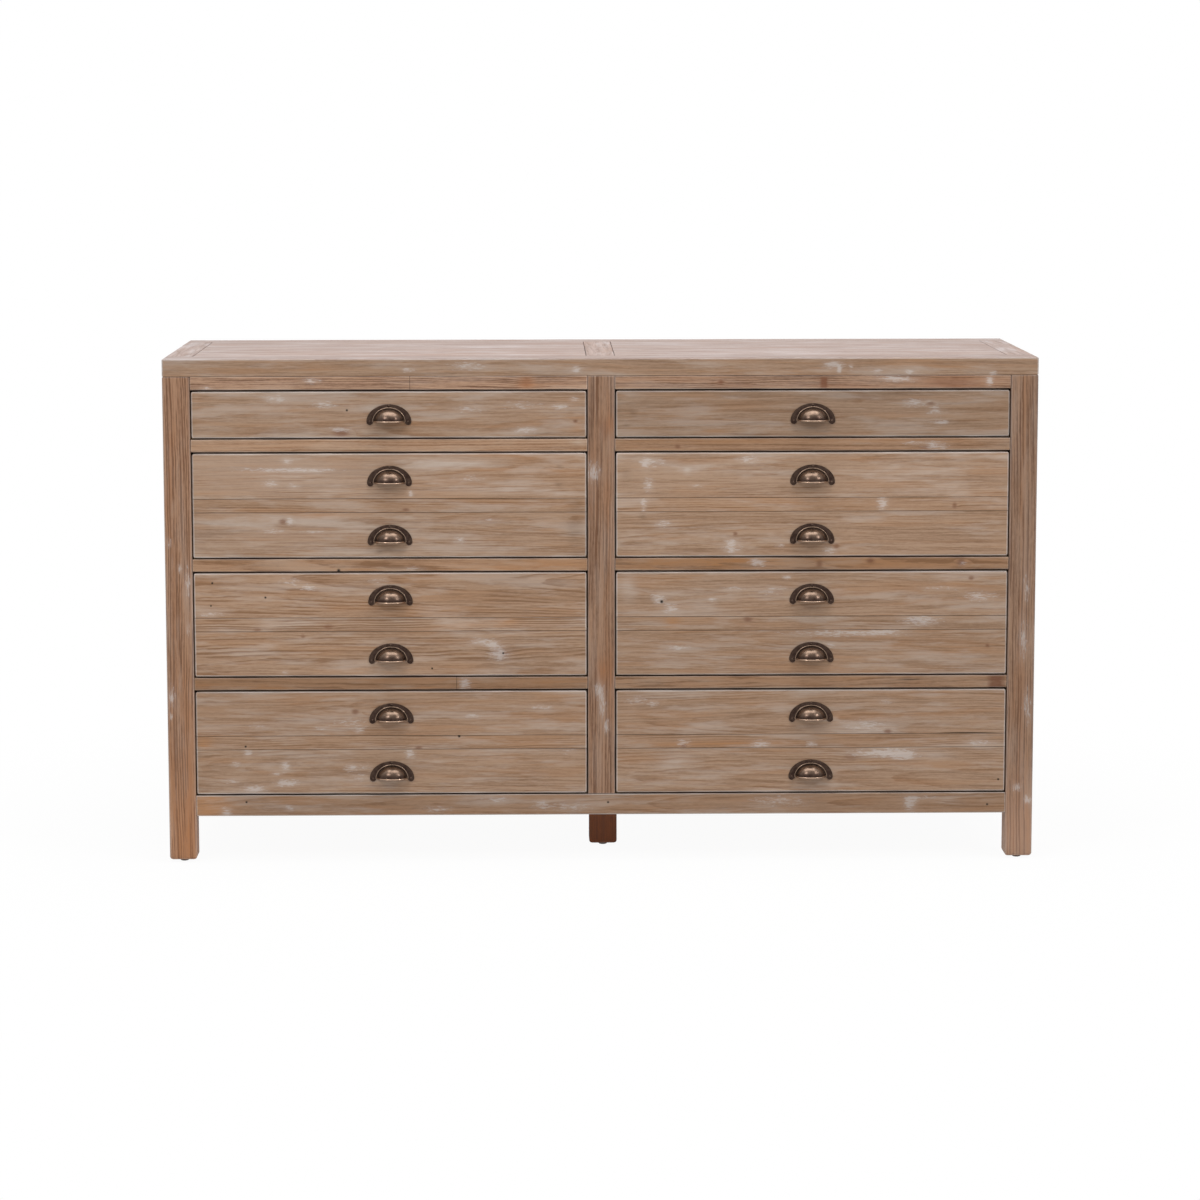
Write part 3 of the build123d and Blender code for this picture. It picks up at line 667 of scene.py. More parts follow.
def rounded_corners(points, box, rounded, corner):
    """The corners of a front, drawn in where two rounded sides meet."""
    for x_end in (0, 1):
        for z_end in (0, 1):
            if rounded[x_end, X] and rounded[z_end, Z]:
                outward = np.array((2 * x_end - 1, 2 * z_end - 1))
                tip = np.array(((box.low, box.high)[x_end][X], (box.low, box.high)[z_end][Z]))
                middle = tip - outward * corner
                reach = (points[:, [X, Z]] - middle) * outward / corner
                far = np.linalg.norm(reach, axis=1)
                outside = (reach > 0).all(axis=1) & (far > 1)
                arc = middle + outward * corner * reach / far[:, None]
                points[np.ix_(outside, [X, Z])] = arc[outside]
    return points


def rounded_foot(points, box, foot):
    """The lower end of a leg, drawn in round its foot."""
    rise = np.clip(points[:, Z] - box.low[Z], 0, foot)
    inset = foot - np.sqrt(foot**2 - (foot - rise) ** 2)
    for axis in (X, Y):
        half = box.size[axis] / 2
        points[:, axis] = box.middle[axis] + (points[:, axis] - box.middle[axis]) * (half - inset) / half
    return points


def paint_mark(values, mark, lengthways, crossways):
    """One mark added to the painted values, from how far the points lie from it."""
    spread = lengthways**2 + crossways**2
    if mark.kind in ("chalk", "pale", "glow"):
        values[mark.kind] += mark.strength * np.exp(-0.5 * spread)
    # Lightens the board's tone; at the foot of the front posts this is painted light from the floor.
    elif mark.kind == "bleach":
        values["tint"][:, 0] += mark.strength * np.exp(-0.5 * spread)
    elif mark.kind == "knot":
        values["knot"] += mark.strength * np.exp(-(spread**1.5))
        around = np.exp(-((lengthways / SWIRL_LONG) ** 2) - (crossways / SWIRL_BROAD) ** 2)
        values["swirl"] += KNOT_SWIRL * mark.strength * mark.broad * around
    elif mark.kind == "stain":
        values["dark"] += STAIN_DEPTH * mark.strength * np.exp(-spread)
    elif mark.kind == "plug":
        values["knot"] += mark.strength * np.exp(-(lengthways**8) - crossways**8)
    else:
        values["dark"] += mark.strength * np.exp(-(spread**2))


def board(box, grain, face, sawn, ease=1.5, sides=None, cuts=(), step=12, marks=(),
          foot=0.0, gap=0.0, seam=0.0, corner=0.0):
    """One board: points, quads and painted values.

    sides may set the softening of single sides, in mm. gap is how much shade is painted on the board just
    behind the front, where it borders the gaps round the drawers. seam is how dark it is along tight sides.
    corner is how far the corners of a front are rounded.
    """
    broad = 3 - grain - face
    eases = np.full((2, 3), ease * MM)
    for (axis, end), value in (sides or {}).items():
        eases[0 if end < 0 else 1, axis] = value * MM
    axes = lattice(box, grain, broad, eases, cuts, step * MM, marks, foot, gap)
    middles = np.meshgrid(*[(a[1:] + a[:-1]) / 2 for a in axes], indexing="ij")
    filled = np.ones([len(a) - 1 for a in axes], bool)
    for cut in cuts:
        filled &= ~np.all([(m > cut.low[a]) & (m < cut.high[a]) for a, m in enumerate(middles)], axis=0)
    quads = skin(axes, filled)
    used, numbers = np.unique(quads, return_inverse=True)
    where = np.unravel_index(used, [len(a) for a in axes])
    flat = np.stack([axes[a][where[a]] for a in range(3)], axis=1)
    points = eased(flat, box, eases, sawn.seed, grain)
    rounded = eases > ROUND_FROM
    if foot:
        points = rounded_foot(points, box, foot)
    if corner:
        points = rounded_corners(points, box, rounded, corner)

    values = {name: np.zeros(len(points)) for name in PAINTED}
    near = np.where(rounded[0], flat - box.low, 1.0)
    far = np.where(rounded[1], box.high - flat, 1.0)
    to_arris = np.sort(np.concatenate([near, far], axis=1), axis=1)[:, 1]
    values["edge"] = np.clip(1 - (to_arris - eases.max()) / RIM_FADE, 0, 1)
    # Painted shade: above the bottom rail, just behind the front, the board is darkened where it borders
    # the gaps round the drawers.
    depth = points[:, Y] - FRONT_Y
    shaded = np.interp(depth, GAP_LINES, (0, 1, 1, 0))
    values["dark"] += gap * shaded * (points[:, Z] > OPENINGS_FROM)
    tight_low = np.where(rounded[0], 1.0, flat - box.low)[:, [grain, broad]]
    tight_high = np.where(rounded[1], 1.0, box.high - flat)[:, [grain, broad]]
    to_seam = np.minimum(tight_low, tight_high).min(axis=1)
    uneven = 0.75 + 0.5 * wander(points[:, grain], sawn.seed + 7, SEAM_WAVE)
    values["dark"] += seam * uneven * np.clip(1 - to_seam / RIM_FADE, 0, 1)
    values["tint"] = np.tile(sawn.tint, (len(points), 1))
    for mark in marks:
        paint_mark(values, mark, *mark.offset(flat, box, grain, broad))
    values["log"] = sawn.places(points, box, grain, broad, face)
    values["year"] = np.full(len(points), sawn.year)
    values["figure"] = np.full(len(points), sawn.figure)
    return points, numbers.reshape(-1, 4), values


def piece(name, made, material, body, nodes):
    """One object from several skins, riding on a body in place of its nodes."""
    starts = np.cumsum([0] + [len(points) for points, quads, values in made])
    points = np.concatenate([points for points, quads, values in made])
    quads = np.concatenate([quads + start for (_, quads, _), start in zip(made, starts)])
    mesh = bpy.data.meshes.new(name)
    mesh.from_pydata(points, [], quads)
    for key in made[0][2]:
        painted = np.concatenate([values[key] for _, _, values in made]).astype(np.float32)
        kind, field = ("FLOAT", "value") if painted.ndim == 1 else ("FLOAT_VECTOR", "vector")
        mesh.attributes.new(key, kind, "POINT").data.foreach_set(field, painted.ravel())
    mesh.shade_smooth()
    mesh.set_sharp_from_angle(angle=SHARP_FROM)
    mesh.materials.append(material)
    thing = bpy.data.objects.new(name, mesh)
    bpy.context.collection.objects.link(thing)
    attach(thing, body)
    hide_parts(*nodes)
    return thing


print("board maker ready")

# %% [markdown]
# Limed pine
#
# Reclaimed pine is brushed, stained a warm tan and rubbed with white lime, which stays in the soft early
# wood, on the arrises and in stray smears. The finish works like the tree: rings are cylinders round the
# pith, bent by slow noise and by knots. Each year has its own depth of colour, and the lime is laid on
# last.

# %% Wood finish
KNOT = paint(112, 68, 42)
# Colour of seams, holes, cracks and stains, and of the shade painted in the gaps round the drawers.
DARK_MARKS_AND_GAP_SHADE = paint(20, 14, 11)
CHALK = paint(202, 192, 186)


def limed_pine(name, early, late, honey, lime, amount, rims, contrast=1.0):
    """The wood finish: colours of early and late wood, of warm streaks and of the lime, how much lime there
    is on the faces and on the rims, and how strongly the grain is drawn."""
    early, late, honey, lime = (paint(*chart) for chart in (early, late, honey, lime))
    material, wood = new_material(name)
    log = wood.painted("log", "Vector")
    along, across, deep = wood.parts(log)
    tone, limed, warm = wood.parts(wood.painted("tint", "Vector"))
    year, figure = (wood.painted(value) for value in ("year", "figure"))
    edge, smeared, pale, glowing = (wood.painted(mark) for mark in ("edge", "chalk", "pale", "glow"))
    knotty, dark = (wood.painted(mark).held() for mark in ("knot", "dark"))

    bend = wood.cloud(log, (1.3, 5, 5), 2.0) - 0.5
    ripple = wood.cloud(log, (14, 60, 60), 2.0) - 0.5
    sway = bend * 0.03 + ripple * 0.004 + wood.painted("swirl")
    radius = (across * across + deep * deep).math("SQRT") + sway
    uneven = wood.node("TexNoise", {"noise_dimensions": "1D"}, {"W": radius * 45, "Scale": 1.0})
    rings = radius / year + uneven * 2
    phase = rings.math("FRACT")
    depth = wood.node("TexWhiteNoise", {"noise_dimensions": "1D"}, {"W": rings.math("FLOOR")})
    broken = wood.cloud(log, (7, 70, 70), 3.0, 0.6).step(0.36, 0.62)
    summer = phase.step(0.3, 0.9) * (1 - phase.step(0.9, 1.0)) * (depth * 0.8 + 0.35) * broken

    flow = wood.node("CombineXYZ", {}, {"X": along, "Y": across + sway, "Z": deep})
    fibre = wood.cloud(flow, (5, 460, 460), 2.0, 0.65)
    line = wood.cloud(flow, (2, 230, 230), 1.5, 0.55)
    streak = wood.cloud(flow, (2, 100, 100), 1.5, 0.6)
    patch = wood.cloud(log, (6, 42, 42), 4.0, 0.65)
    ember = wood.cloud(log, (4, 50, 50), 3.0, 0.6)
    speck = wood.cloud(log, (80, 420, 420), 3.0, 0.7)

    drawn = (streak - 0.5) * 0.7 + (line - 0.5) * 1.1 + (fibre - 0.5) * 1.5 + (speck - 0.5) * 1.0
    brown = summer * figure * 1.4 + drawn * contrast + 0.24
    colour = wood.blend(early, late, brown.held())
    honeyed = ember.step(0.48, 0.68) * 0.35 + warm + summer * 0.4 + glowing * 0.8
    colour = wood.blend(colour, honey, honeyed.held() * (1 - brown.held() * 0.6))
    laid = (patch.step(0.45, 0.66) * 0.85 + limed) * amount + pale * 0.6
    wash = laid * (1 - summer * 0.6) * (fibre * 0.8 + 0.4)
    colour = wood.blend(colour, lime, wash.held())
    colour = wood.blend(colour, KNOT, (knotty * (speck * 0.8 + 0.5)).held())
    fleck = (smeared + (speck - 0.5) * 3.4 - 0.35).step(0, 0.7) * smeared.step(0, 0.3)
    smear = smeared.held() * 0.18 + fleck * 0.48
    rim = edge * (patch.step(0.25, 0.6) * 0.6 + 0.4) * rims
    colour = wood.blend(colour, CHALK, (smear + rim).held())
    # Seams, holes, cracks and stains, together with the painted gap shade.
    colour = wood.blend(colour, DARK_MARKS_AND_GAP_SHADE, dark)
    colour = wood.node("HueSaturation", {}, {"Color": colour, "Value": tone * 0.3 + 1})

    height = summer * 0.5 + fibre * 0.5 - dark * 2.0 - streak * 0.25
    bump = wood.node("Bump", {}, {"Height": height, "Strength": 0.35, "Distance": 0.5 * MM})
    wood.output(wood.node("BsdfPrincipled", {}, {
        "Base Color": colour,
        "Roughness": (smear * 0.2 - summer * 0.08 + dark * 0.4 + 0.6).held(),
        "Normal": bump,
        "IOR": 1.45,
    }))
    return material


FRONT_PINE = limed_pine(
    "limed_pine_fronts", (166, 136, 111), (122, 90, 64), (166, 119, 78), (190, 175, 163),
    amount=0.6, rims=0.6,
)
FRAME_PINE = limed_pine(
    "limed_pine_frame", (164, 131, 106), (94, 63, 43), (158, 106, 66), (184, 167, 154),
    amount=0.28, rims=0.2, contrast=1.2,
)
DIVIDER_PINE = limed_pine(
    "limed_pine_dividers", (166, 134, 108), (112, 80, 54), (164, 114, 68), (184, 167, 150),
    amount=0.4, rims=0.2, contrast=1.2,
)
# A paler, greyer copy of the limed pine for the top: more lime, and painted sheen for the light it catches
# from above.
TOP_PINE_PAINTED_SHEEN = limed_pine(
    "limed_pine_top_painted_sheen", (173, 153, 145), (116, 92, 80), (164, 128, 107), (202, 195, 195),
    amount=0.7, rims=0.05,
)
INNER_PINE = limed_pine(
    "plain_pine", (196, 168, 134), (168, 130, 92), (190, 146, 100), (210, 195, 175),
    amount=0.1, rims=0.0,
)
print("wood finishes:", [material.name for material in bpy.data.materials if "pine" in material.name])

# %% [markdown]
# The frame of the chest
#
# Posts and stile run upright and show straight grain. Rails run level between them. Where a tenon is hidden
# in a post, the rail's box is cut back to the post's face.

# %% Posts, stile and rails
FOOT_ROUND = 7 * MM
# How strongly shade is painted where the frame borders the gaps round the drawers.
FRAME_GAP_SHADE = 0.95
post_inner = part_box("front_right_post")[0].x
stile_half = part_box("centre_stile")[1].x
bottom_rail_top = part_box("bottom_front_rail")[1].z
top_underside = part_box("centre_stile")[1].z


def carcass(node, made, material):
    """A piece of the carcass in place of one node."""
    return piece(node + "_wood", made, material, "carcass", [node])


for seed, name in enumerate(("front_left_post", "front_right_post", "rear_left_post", "rear_right_post")):
    left = seed % 2 == 0
    warm, tone = (0.35, -0.15) if left else (0.05, -0.8)
    sawn = Sawn(100 + seed, quarter=True, warm=warm, tone=tone, year=6, figure=1.7 if left else 1.4)
    marks = MARKS.get((name, 0), ())
    made = board(solids_of(name)[0], Z, Y, sawn, ease=2, foot=FOOT_ROUND, marks=marks)
    carcass(name, [made], FRAME_PINE)

stile = solids_of("centre_stile")[0].cut_to(Z, bottom_rail_top, top_underside)
sawn = Sawn(111, quarter=True, tone=-0.5, warm=0.2, year=6, figure=1.0)
made = board(stile, Z, Y, sawn, marks=MARKS["centre_stile", 0], gap=FRAME_GAP_SHADE)
carcass("centre_stile", [made], FRAME_PINE)


def between(box, axis, *planes):
    """A box cut to the gap that its middle lies in, between planes along one axis."""
    below = max(plane for plane in planes if plane < box.middle[axis])
    above = min(plane for plane in planes if plane > box.middle[axis])
    return box.cut_to(axis, below, above)


UPPER_TONES = (0.4, -0.1)
uprights = (-post_inner, -stile_half, stile_half, post_inner)
made = []
for i, box in enumerate(solids_of("upper_front_rails")):
    sawn = Sawn(120 + i, quarter=True, warm=-0.1, tone=UPPER_TONES[i], year=4, figure=0.7)
    rail = between(box, X, *uprights)
    made.append(board(rail, X, Y, sawn, marks=MARKS["upper_rail", i], gap=FRAME_GAP_SHADE))
carcass("upper_front_rails", made, FRAME_PINE)

DIVIDER_LOOK = {
    (1, 0): (0.1, 0.1), (1, 1): (-0.4, 0.15), (2, 0): (0.0, 0.25),
    (2, 1): (-0.75, 0.35), (3, 0): (-0.9, 0.5), (3, 1): (-0.7, 0.3),
}
made = []
for i, box in enumerate(solids_of("divider_rails")):
    level, bank = 3 - i // 2, i % 2
    tone, warm = DIVIDER_LOOK[level, bank]
    highest = level == 1
    sawn = Sawn(130 + i, quarter=highest, warm=warm, tone=tone, year=5, figure=0.7 if highest else 1.1)
    rail = between(box, X, *uprights)
    made.append(board(rail, X, Y, sawn, marks=MARKS[f"divider_{level}", bank], gap=FRAME_GAP_SHADE))
carcass("divider_rails", made, DIVIDER_PINE)

rail = between(solids_of("bottom_front_rail")[0], X, -post_inner, post_inner)
sawn = Sawn(140, tone=-0.8, year=5, warm=0.2, figure=0.5)
made = board(rail, X, Y, sawn, marks=MARKS["bottom_rail", 0], gap=FRAME_GAP_SHADE)
carcass("bottom_front_rail", [made], FRONT_PINE)
print("frame boards made, posts", round(2 * post_inner, 3), "m apart")

# %% [markdown]
# The top
#
# A flat frame of boards round two fields of planks. Its outer arrises are well rounded, while the boards
# meet each other with tight seams. The top takes a paler, greyer copy of the limed pine: more lime, and
# painted sheen for the light it catches from above. On the front rail only the upward faces take it; its
# other faces keep the finish of the fronts.

# %% Top boards
TOP_EASE = 2.0
SEAM_EASE = 0.3
PLANK_SEAM = 0.5
top_low = Vector([min(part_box(n)[0][a] for n in ("top_front_rail", "top_rear_rail")) for a in range(3)])
top_high = Vector([max(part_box(n)[1][a] for n in ("top_front_rail", "top_rear_rail")) for a in range(3)])


def top_sides(box):
    """Rounded where a board reaches the outside of the top, tight where it meets another."""
    sides = {(Z, 1): TOP_EASE, (Z, -1): SEAM_EASE}
    for axis in (X, Y):
        sides[axis, -1] = TOP_EASE if abs(box.low[axis] - top_low[axis]) < MM else SEAM_EASE
        sides[axis, 1] = TOP_EASE if abs(box.high[axis] - top_high[axis]) < MM else SEAM_EASE
    return sides


top_seed = 200
for name in ("top_front_rail", "top_rear_rail", "top_left_end", "top_right_end", "top_crosspiece",
             "top_left_planks", "top_right_planks"):
    grain = Y if name in ("top_left_end", "top_right_end", "top_crosspiece") else X
    front = name == "top_front_rail"
    face, marks, tone = (Y, MARKS["top_edge", 0], -0.55) if front else (Z, (), -0.1)
    seam = 0 if front else PLANK_SEAM
    made = []
    for box in solids_of(name):
        top_seed += 1
        sawn = Sawn(top_seed, tone=tone, figure=0.15 if front else 0.4)
        made.append(board(box, grain, face, sawn, sides=top_sides(box), marks=marks, seam=seam))
    plank = carcass(name, made, TOP_PINE_PAINTED_SHEEN)
    # Upward faces of the front rail take the top's finish with its painted sheen, the other faces the
    # finish of the fronts.
    if front:
        plank.data.materials.append(FRONT_PINE)
        for polygon in plank.data.polygons:
            polygon.material_index = int(polygon.normal.z < 0.5)
print("top boards:", top_seed - 200)

# %% [markdown]
# Sides, back and what carries the drawers
#
# The sides are level planks between rails, the back is upright boards. Inside are the partition, the
# bottom, and the runners, guides and stops, all in plain pine.

# %% Sides and back
post_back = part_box("front_left_post")[1].y
rear_post_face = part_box("rear_left_post")[0].y
SIDE_TONES = (-0.2, 0.05, -0.3, 0.1, -0.1)
INNER_EASE = 0.6
INNER_STEP = 25
CUT_ROOM = 0.2 * MM
panel_low = bottom_rail_top
panel_high = max(box.low[Z] for box in solids_of("rear_rails"))

made = []
for i, box in enumerate(solids_of("side_rails")):
    made.append(board(between(box, Y, post_back, rear_post_face), Y, X, Sawn(300 + i)))
carcass("side_rails", made, FRAME_PINE)
for first, name in ((310, "left_side_planks"), (320, "right_side_planks")):
    made = []
    for i, box in enumerate(solids_of(name)):
        plank = between(box, Y, post_back, rear_post_face).cut_to(Z, panel_low, panel_high)
        sawn = Sawn(first + i, tone=SIDE_TONES[i])
        made.append(board(plank, Y, X, sawn, ease=INNER_EASE, seam=PLANK_SEAM))
    carcass(name, made, FRONT_PINE)

made = []
for i, box in enumerate(solids_of("rear_rails")):
    made.append(board(between(box, X, -post_inner, post_inner), X, Y, Sawn(330 + i)))
carcass("rear_rails", made, FRAME_PINE)
stile = solids_of("rear_stile")[0].cut_to(Z, panel_low, panel_high)
carcass("rear_stile", [board(stile, Z, Y, Sawn(335, quarter=True))], FRAME_PINE)
made = []
for i, box in enumerate(solids_of("back_boards")):
    plank = between(box, X, *uprights).cut_to(Z, panel_low, panel_high)
    made.append(board(plank, Z, Y, Sawn(340 + i), ease=0.8, step=20, seam=0.4))
carcass("back_boards", made, INNER_PINE)
print("panels from", round(panel_low, 3), "to", round(panel_high, 3), "m up")

# %% Inner boards
posts = [solids_of(f"{end}_{side}_post")[0] for end in ("front", "rear") for side in ("left", "right")]
for first, name, grain, face, slot in (
    (400, "centre_partition", Z, X, "plain_pine"),
    (410, "bottom_panel", X, Z, "back_pine"),
    (420, "drawer_runners", Y, Z, "plain_pine"),
    (450, "runner_guides", Y, X, "plain_pine"),
    (480, "drawer_stops", X, Y, "plain_pine"),
):
    cuts = [post.grown(CUT_ROOM) for post in posts] if name == "bottom_panel" else ()
    made = []
    for i, box in enumerate(solids_of(name)):
        made.append(board(box, grain, face, Sawn(first + i), ease=INNER_EASE, step=INNER_STEP, cuts=cuts))
    carcass(name, made, INNER_PINE)
print("inner boards made")

# %% [markdown]
# The drawers
#
# A shallow front is one board. A deep front is three, glued edge to edge, with rounded outer arrises and
# hairline seams. The narrow strip in its middle is sawn straight and shows fine lines. Each front is
# notched at the back for the sides of its box.

# %% Drawer fronts and boxes
FRONT_EASE = 2.2
FRONT_CORNER = 5 * MM
SEAM_TAKEN_UP = 0.2 * MM
# How strongly shade is painted on a front's edges in the gaps round it, and how dark its seams are.
FRONT_GAP_SHADE, FRONT_SEAM = 0.38, 0.4
DRAWER_LOOK = {
    "left_drawer_1": (-0.4, 0.3), "left_drawer_2": (-0.1, 0.4), "left_drawer_3": (0.05, 0.9),
    "left_drawer_4": (-0.2, 0.4), "right_drawer_1": (-0.75, 0.3), "right_drawer_2": (0.0, 0.3),
    "right_drawer_3": (-0.3, 0.3), "right_drawer_4": (-0.3, 0.5),
}


def front_sides(box, whole_low, whole_high):
    """Rounded round the outside of the front, tight at the seams between its boards."""
    sides = {(Y, -1): FRONT_EASE, (Y, 1): SEAM_EASE, (X, -1): FRONT_EASE, (X, 1): FRONT_EASE}
    sides[Z, -1] = FRONT_EASE if abs(box.low[Z] - whole_low.z) < MM else SEAM_EASE
    sides[Z, 1] = FRONT_EASE if abs(box.high[Z] - whole_high.z) < MM else SEAM_EASE
    return sides


def closed_up(box, whole_low, whole_high):
    """A board of a front with most of the seam to its neighbours taken up, so only a hairline is left."""
    low, high = box.low.copy(), box.high.copy()
    low[Z] = max(low[Z] - SEAM_TAKEN_UP, whole_low.z)
    high[Z] = min(high[Z] + SEAM_TAKEN_UP, whole_high.z)
    return Box(low, high)


seed = 500
for name, (tone, figure) in DRAWER_LOOK.items():
    box_boards = solids_of(name + "_box")
    cuts = [box.grown(CUT_ROOM) for box in box_boards if box.size[X] < box.size[Z]]
    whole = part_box(name + "_front")
    made = []
    for i, box in enumerate(solids_of(name + "_front")):
        seed += 1
        if i == STRIP:
            sawn = Sawn(seed, quarter=True, year=5, warm=0.1, figure=figure + 0.5, tone=tone)
        else:
            sawn = Sawn(seed, year=4, figure=figure, tone=tone)
        box = closed_up(box, *whole)
        made.append(board(
            box, X, Y, sawn, sides=front_sides(box, *whole), cuts=cuts, marks=MARKS[name, i],
            gap=FRONT_GAP_SHADE, seam=FRONT_SEAM, corner=FRONT_CORNER,
        ))
    piece(name + "_front_wood", made, FRONT_PINE, name, [name + "_front"])
    made = []
    for box in box_boards:
        seed += 1
        thin = int(np.argmin(box.size))
        made.append(board(box, Y if thin == X else X, thin, Sawn(seed), ease=0.8, step=INNER_STEP))
    piece(name + "_box_wood", made, INNER_PINE, name, [name + "_box"])
print("drawer boards:", seed - 500)

# %% [markdown]
# The centre foot and the glides
#
# The foot behind the middle of the front is stained dark, so it hides in the shadow under the chest.

# %% Foot and glides
FOOT_PINE = limed_pine(
    "dark_pine", (124, 68, 30), (88, 44, 18), (130, 70, 28), (130, 90, 60),
    amount=0.05, rims=0.0,
)
sawn = Sawn(700, quarter=True)
made = board(solids_of("centre_foot")[0], Z, Y, sawn, ease=2, foot=FOOT_ROUND)
carcass("centre_foot", [made], FOOT_PINE)

glide_material, plastic = new_material("glide_brown")
spot = plastic.node("TexCoord", {}, {}, "Object")
speck = plastic.cloud(spot, (900, 900, 900), 2.0)
plastic.output(plastic.node("BsdfPrincipled", {}, {
    "Base Color": plastic.blend(paint(58, 40, 28), paint(84, 62, 46), speck),
    "Roughness": speck * 0.2 + 0.4,
}))


def refinish(node, material):
    """A node that keeps its own shape gets a new finish."""
    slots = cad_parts[node].data.materials
    slots.clear()
    slots.append(material)


refinish("floor_glides", glide_material)
print("foot and glides done")

# %% [markdown]
# The cup pulls
#
# Each pull is a cast cup on a flange. The cup is half an ellipse turned a quarter round a line along the
# drawer, so it is open below. The flange follows a larger arch, with a bead round the cup and a round lug
# at each end. Brass that is left to darken stays bright only where fingers keep rubbing it, so rubbing is
# painted on, and with it painted highlights: a bright band across the upper cup, a bright line along the
# lip, a lighter bead and a lighter outer rim of the flange.

# %% Pull shape
CUP_HALF = 28 * MM
CUP_REACH = 24 * MM
CUP_WALL = 1.8 * MM
LUG = 6 * MM
FLANGE = 2 * MM
BEAD, BEAD_OUT = 1.3 * MM, 1.4 * MM
LIP, LIP_IN = 1.2 * MM, 0.2 * MM
CUP_POINTS = 57
# How bright each part of a pull is painted: wear where fingers touch, together with painted highlights,
# brightest on the lip line.
CUP_RUB_AND_HIGHLIGHT, LIP_RUB_AND_HIGHLIGHT, BEAD_RUB_AND_HIGHLIGHT, FLANGE_RUB_AND_HIGHLIGHT = 0.55, 1.4, 0.55, 0.08


def skin_of(points, rub, closed=False, flip=False):
    """Quads over a grid of points, with its painted rubbing and highlight."""
    rows, columns = points.shape[:2]
    number = np.arange(rows * columns).reshape(rows, columns)
    if closed:
        number = np.concatenate([number, number[:, :1]], axis=1)
    corners = (number[:-1, :-1], number[1:, :-1], number[1:, 1:], number[:-1, 1:])
    quads = np.stack(corners, axis=-1).reshape(-1, 4)
    painted = np.broadcast_to(rub, points.shape[:2]).ravel().astype(float)
    return points.reshape(-1, 3), quads[:, ::-1] if flip else quads, {"rub": painted}


def cup(half, reach, peak_rub_and_highlight, flip):
    """A quarter turn of half an ellipse, from the lip up to the flange."""
    u = np.linspace(0.001, math.pi - 0.001, CUP_POINTS)[:, None]
    turn = np.linspace(0, math.pi / 2, 19)[None, :]
    radius = reach * np.sin(u)
    parts = np.broadcast_arrays(half * np.cos(u), -radius * np.cos(turn), radius * np.sin(turn))
    points = np.stack(parts, axis=-1)
    # Rubbing and painted highlight: a bright band across the upper cup, fading towards the lip and the
    # ends.
    rub = peak_rub_and_highlight * np.exp(-(((turn - 0.9) / 0.45) ** 2)) * np.sin(u) ** 0.7
    return skin_of(points, rub, flip=flip)


def rod(path, radius, rub):
    """A round rod along a path that lies in a level or an upright plane."""
    along = np.gradient(path, axis=0)
    along /= np.linalg.norm(along, axis=1)[:, None]
    level = np.ptp(path[:, 2]) < 1e-6
    side = np.cross(along, (0, 0, 1.0) if level else (0, 1.0, 0))
    up = np.cross(side, along)
    angle = np.linspace(0, math.tau, 11)[None, :-1, None]
    points = path[:, None] + radius * (np.cos(angle) * side[:, None] + np.sin(angle) * up[:, None])
    return skin_of(points, rub, closed=True)


def arch(half, rise, count=61):
    """Points of half an ellipse over the lip line, from right to left."""
    t = np.linspace(0, math.pi, count)
    return np.stack([half * np.cos(t), np.zeros(count), rise * np.sin(t)], axis=-1)


def flange(half, rise):
    """The flat band round the cup with its softened outer rim, and the lugs."""
    share = np.array([0, 0.5, 0.9, 0.97, 1.0, 1.0])
    height = np.array([1, 1.0, 1.0, 0.82, 0.45, 0]) * FLANGE
    inner, outer = arch(CUP_HALF - CUP_WALL, CUP_REACH - CUP_WALL), arch(half, rise)
    band = inner[:, None] * (1 - share[:, None]) + outer[:, None] * share[:, None]
    band[:, :, 1] = -height
    skins = [skin_of(band, FLANGE_RUB_AND_HIGHLIGHT * share)]
    radius = np.array([0.0, 0.5, 0.84, 0.95, 1.0, 1.0])
    angle = np.linspace(math.pi, math.tau, 17)[:, None]
    for side in (-1, 1):
        lug = np.stack(np.broadcast_arrays(
            side * (half - LUG) + LUG * radius * np.cos(angle), -height, LUG * radius * np.sin(angle)
        ), axis=-1)
        skins.append(skin_of(lug, FLANGE_RUB_AND_HIGHLIGHT * radius, flip=True))
    return skins


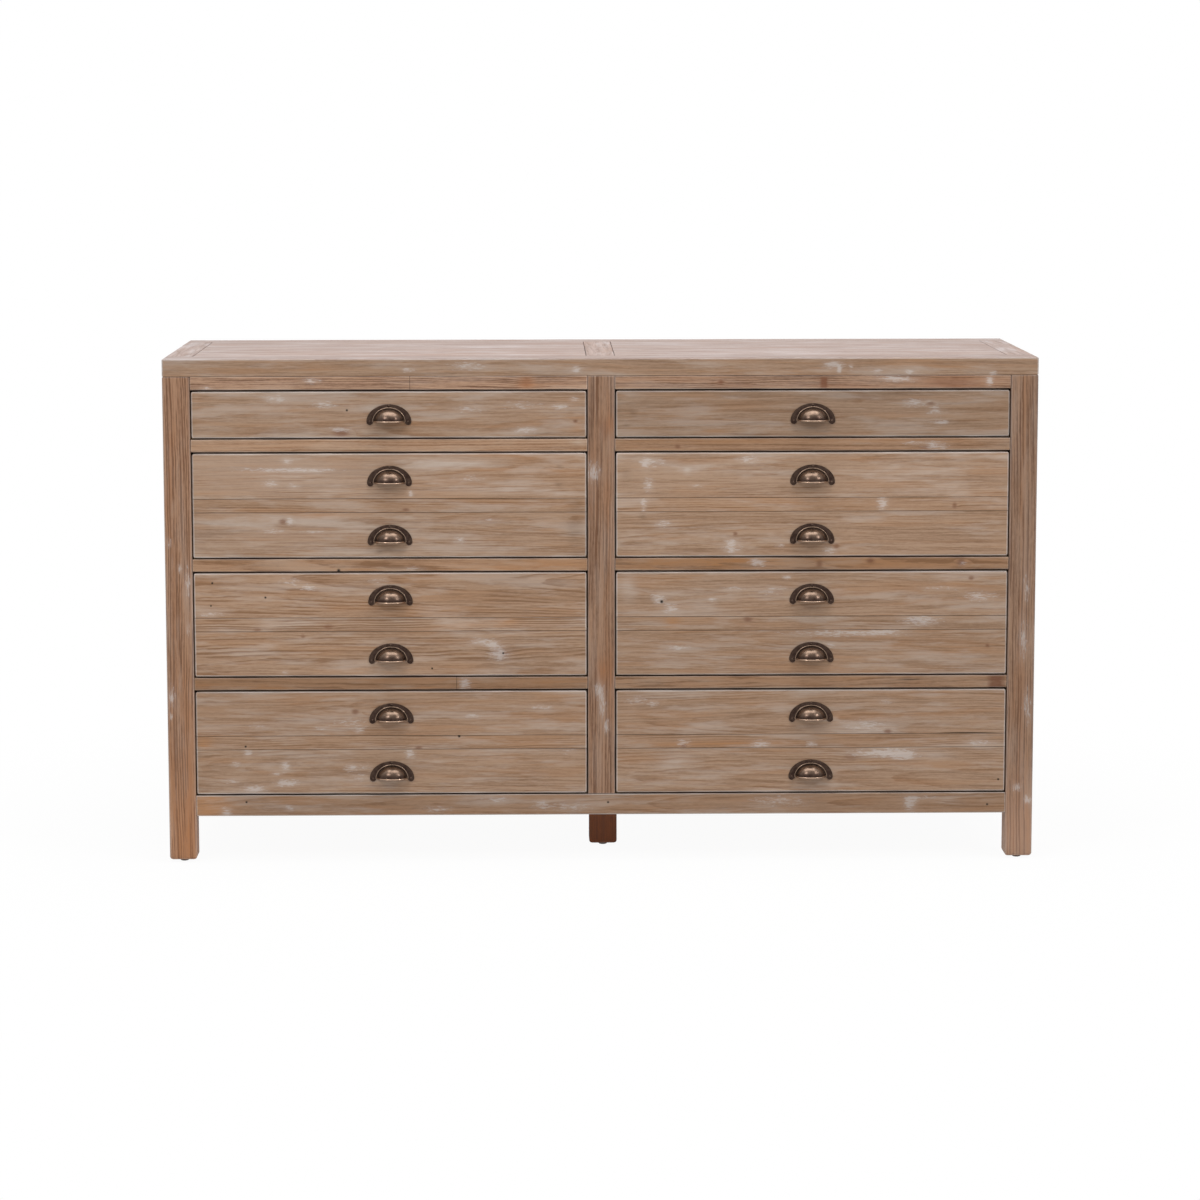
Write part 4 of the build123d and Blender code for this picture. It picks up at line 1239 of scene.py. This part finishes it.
def pull_skins(half, rise):
    """Every skin of one pull, with its lip line at the origin."""
    skins = flange(half, rise)
    skins.append(cup(CUP_HALF, CUP_REACH, CUP_RUB_AND_HIGHLIGHT, flip=False))
    skins.append(cup(CUP_HALF - CUP_WALL, CUP_REACH - CUP_WALL, 0.0, flip=True))
    t = np.linspace(0, math.pi, CUP_POINTS)
    lip = np.stack([CUP_HALF * np.cos(t), -(CUP_REACH - LIP_IN) * np.sin(t), 0 * t + LIP], axis=-1)
    # The lip line is painted brightest: a worn edge with a painted highlight along it.
    skins.append(rod(lip, LIP, LIP_RUB_AND_HIGHLIGHT))
    bead = arch(CUP_HALF + BEAD_OUT, CUP_REACH + BEAD_OUT)
    bead[:, 1] = -FLANGE
    skins.append(rod(bead, BEAD, BEAD_RUB_AND_HIGHLIGHT))
    return skins


print("one cup has", len(cup(CUP_HALF, CUP_REACH, CUP_RUB_AND_HIGHLIGHT, flip=False)[0]), "points")

# %% Brass finish
BRONZE = paint(50, 35, 29)
# The colour of rubbed brass, also used for its painted highlights.
RUBBED_AND_HIGHLIT = paint(166, 139, 118)
SOOT = paint(32, 24, 20)


def old_brass(name, brightness=1.0, painted=True):
    """Darkened brass, bright where it is rubbed and where highlights are painted."""
    material, brass = new_material(name)
    spot = brass.node("TexCoord", {}, {}, "Object")
    cloudy = brass.cloud(spot, (160, 160, 160), 3.0, 0.6)
    grit = brass.cloud(spot, (1400, 1400, 1400), 2.0)
    rub = brass.painted("rub") if painted else grit * 0.3
    bright = (rub * (cloudy * 0.9 + 0.4) * brightness + (cloudy - 0.5) * 0.25).held()
    colour = brass.blend(BRONZE, RUBBED_AND_HIGHLIT, bright)
    colour = brass.blend(colour, SOOT, (cloudy.step(0.56, 0.8) * (1 - bright) * 0.6).held())
    height = cloudy + grit * 0.4
    bump = brass.node("Bump", {}, {"Height": height, "Strength": 0.25, "Distance": 0.3 * MM})
    brass.output(brass.node("BsdfPrincipled", {}, {
        "Base Color": colour,
        "Metallic": 0.9,
        "Roughness": (grit * 0.1 - bright * 0.08 + 0.24).held(),
        "Coat Weight": bright * 0.5,
        "Coat Roughness": 0.12,
        "Normal": bump,
    }))
    return material


PULL_BRASS = old_brass("antique_brass")
SCREW_BRASS = old_brass("screw_brass", brightness=0.6, painted=False)
print("brass finishes:", PULL_BRASS.name, SCREW_BRASS.name)

# %% Pulls and screws in place
for name in DRAWER_LOOK:
    made = []
    for box in solids_of(name + "_pulls"):
        lip_line = np.array((box.middle[X], box.high[Y], box.low[Z] + LUG))
        for points, quads, values in pull_skins(box.size[X] / 2, box.size[Z] - LUG):
            made.append((points + lip_line, quads, values))
    piece(name + "_cup_pulls", made, PULL_BRASS, name, [name + "_pulls"])
    refinish(name + "_screws", SCREW_BRASS)
print("pulls and screws done")
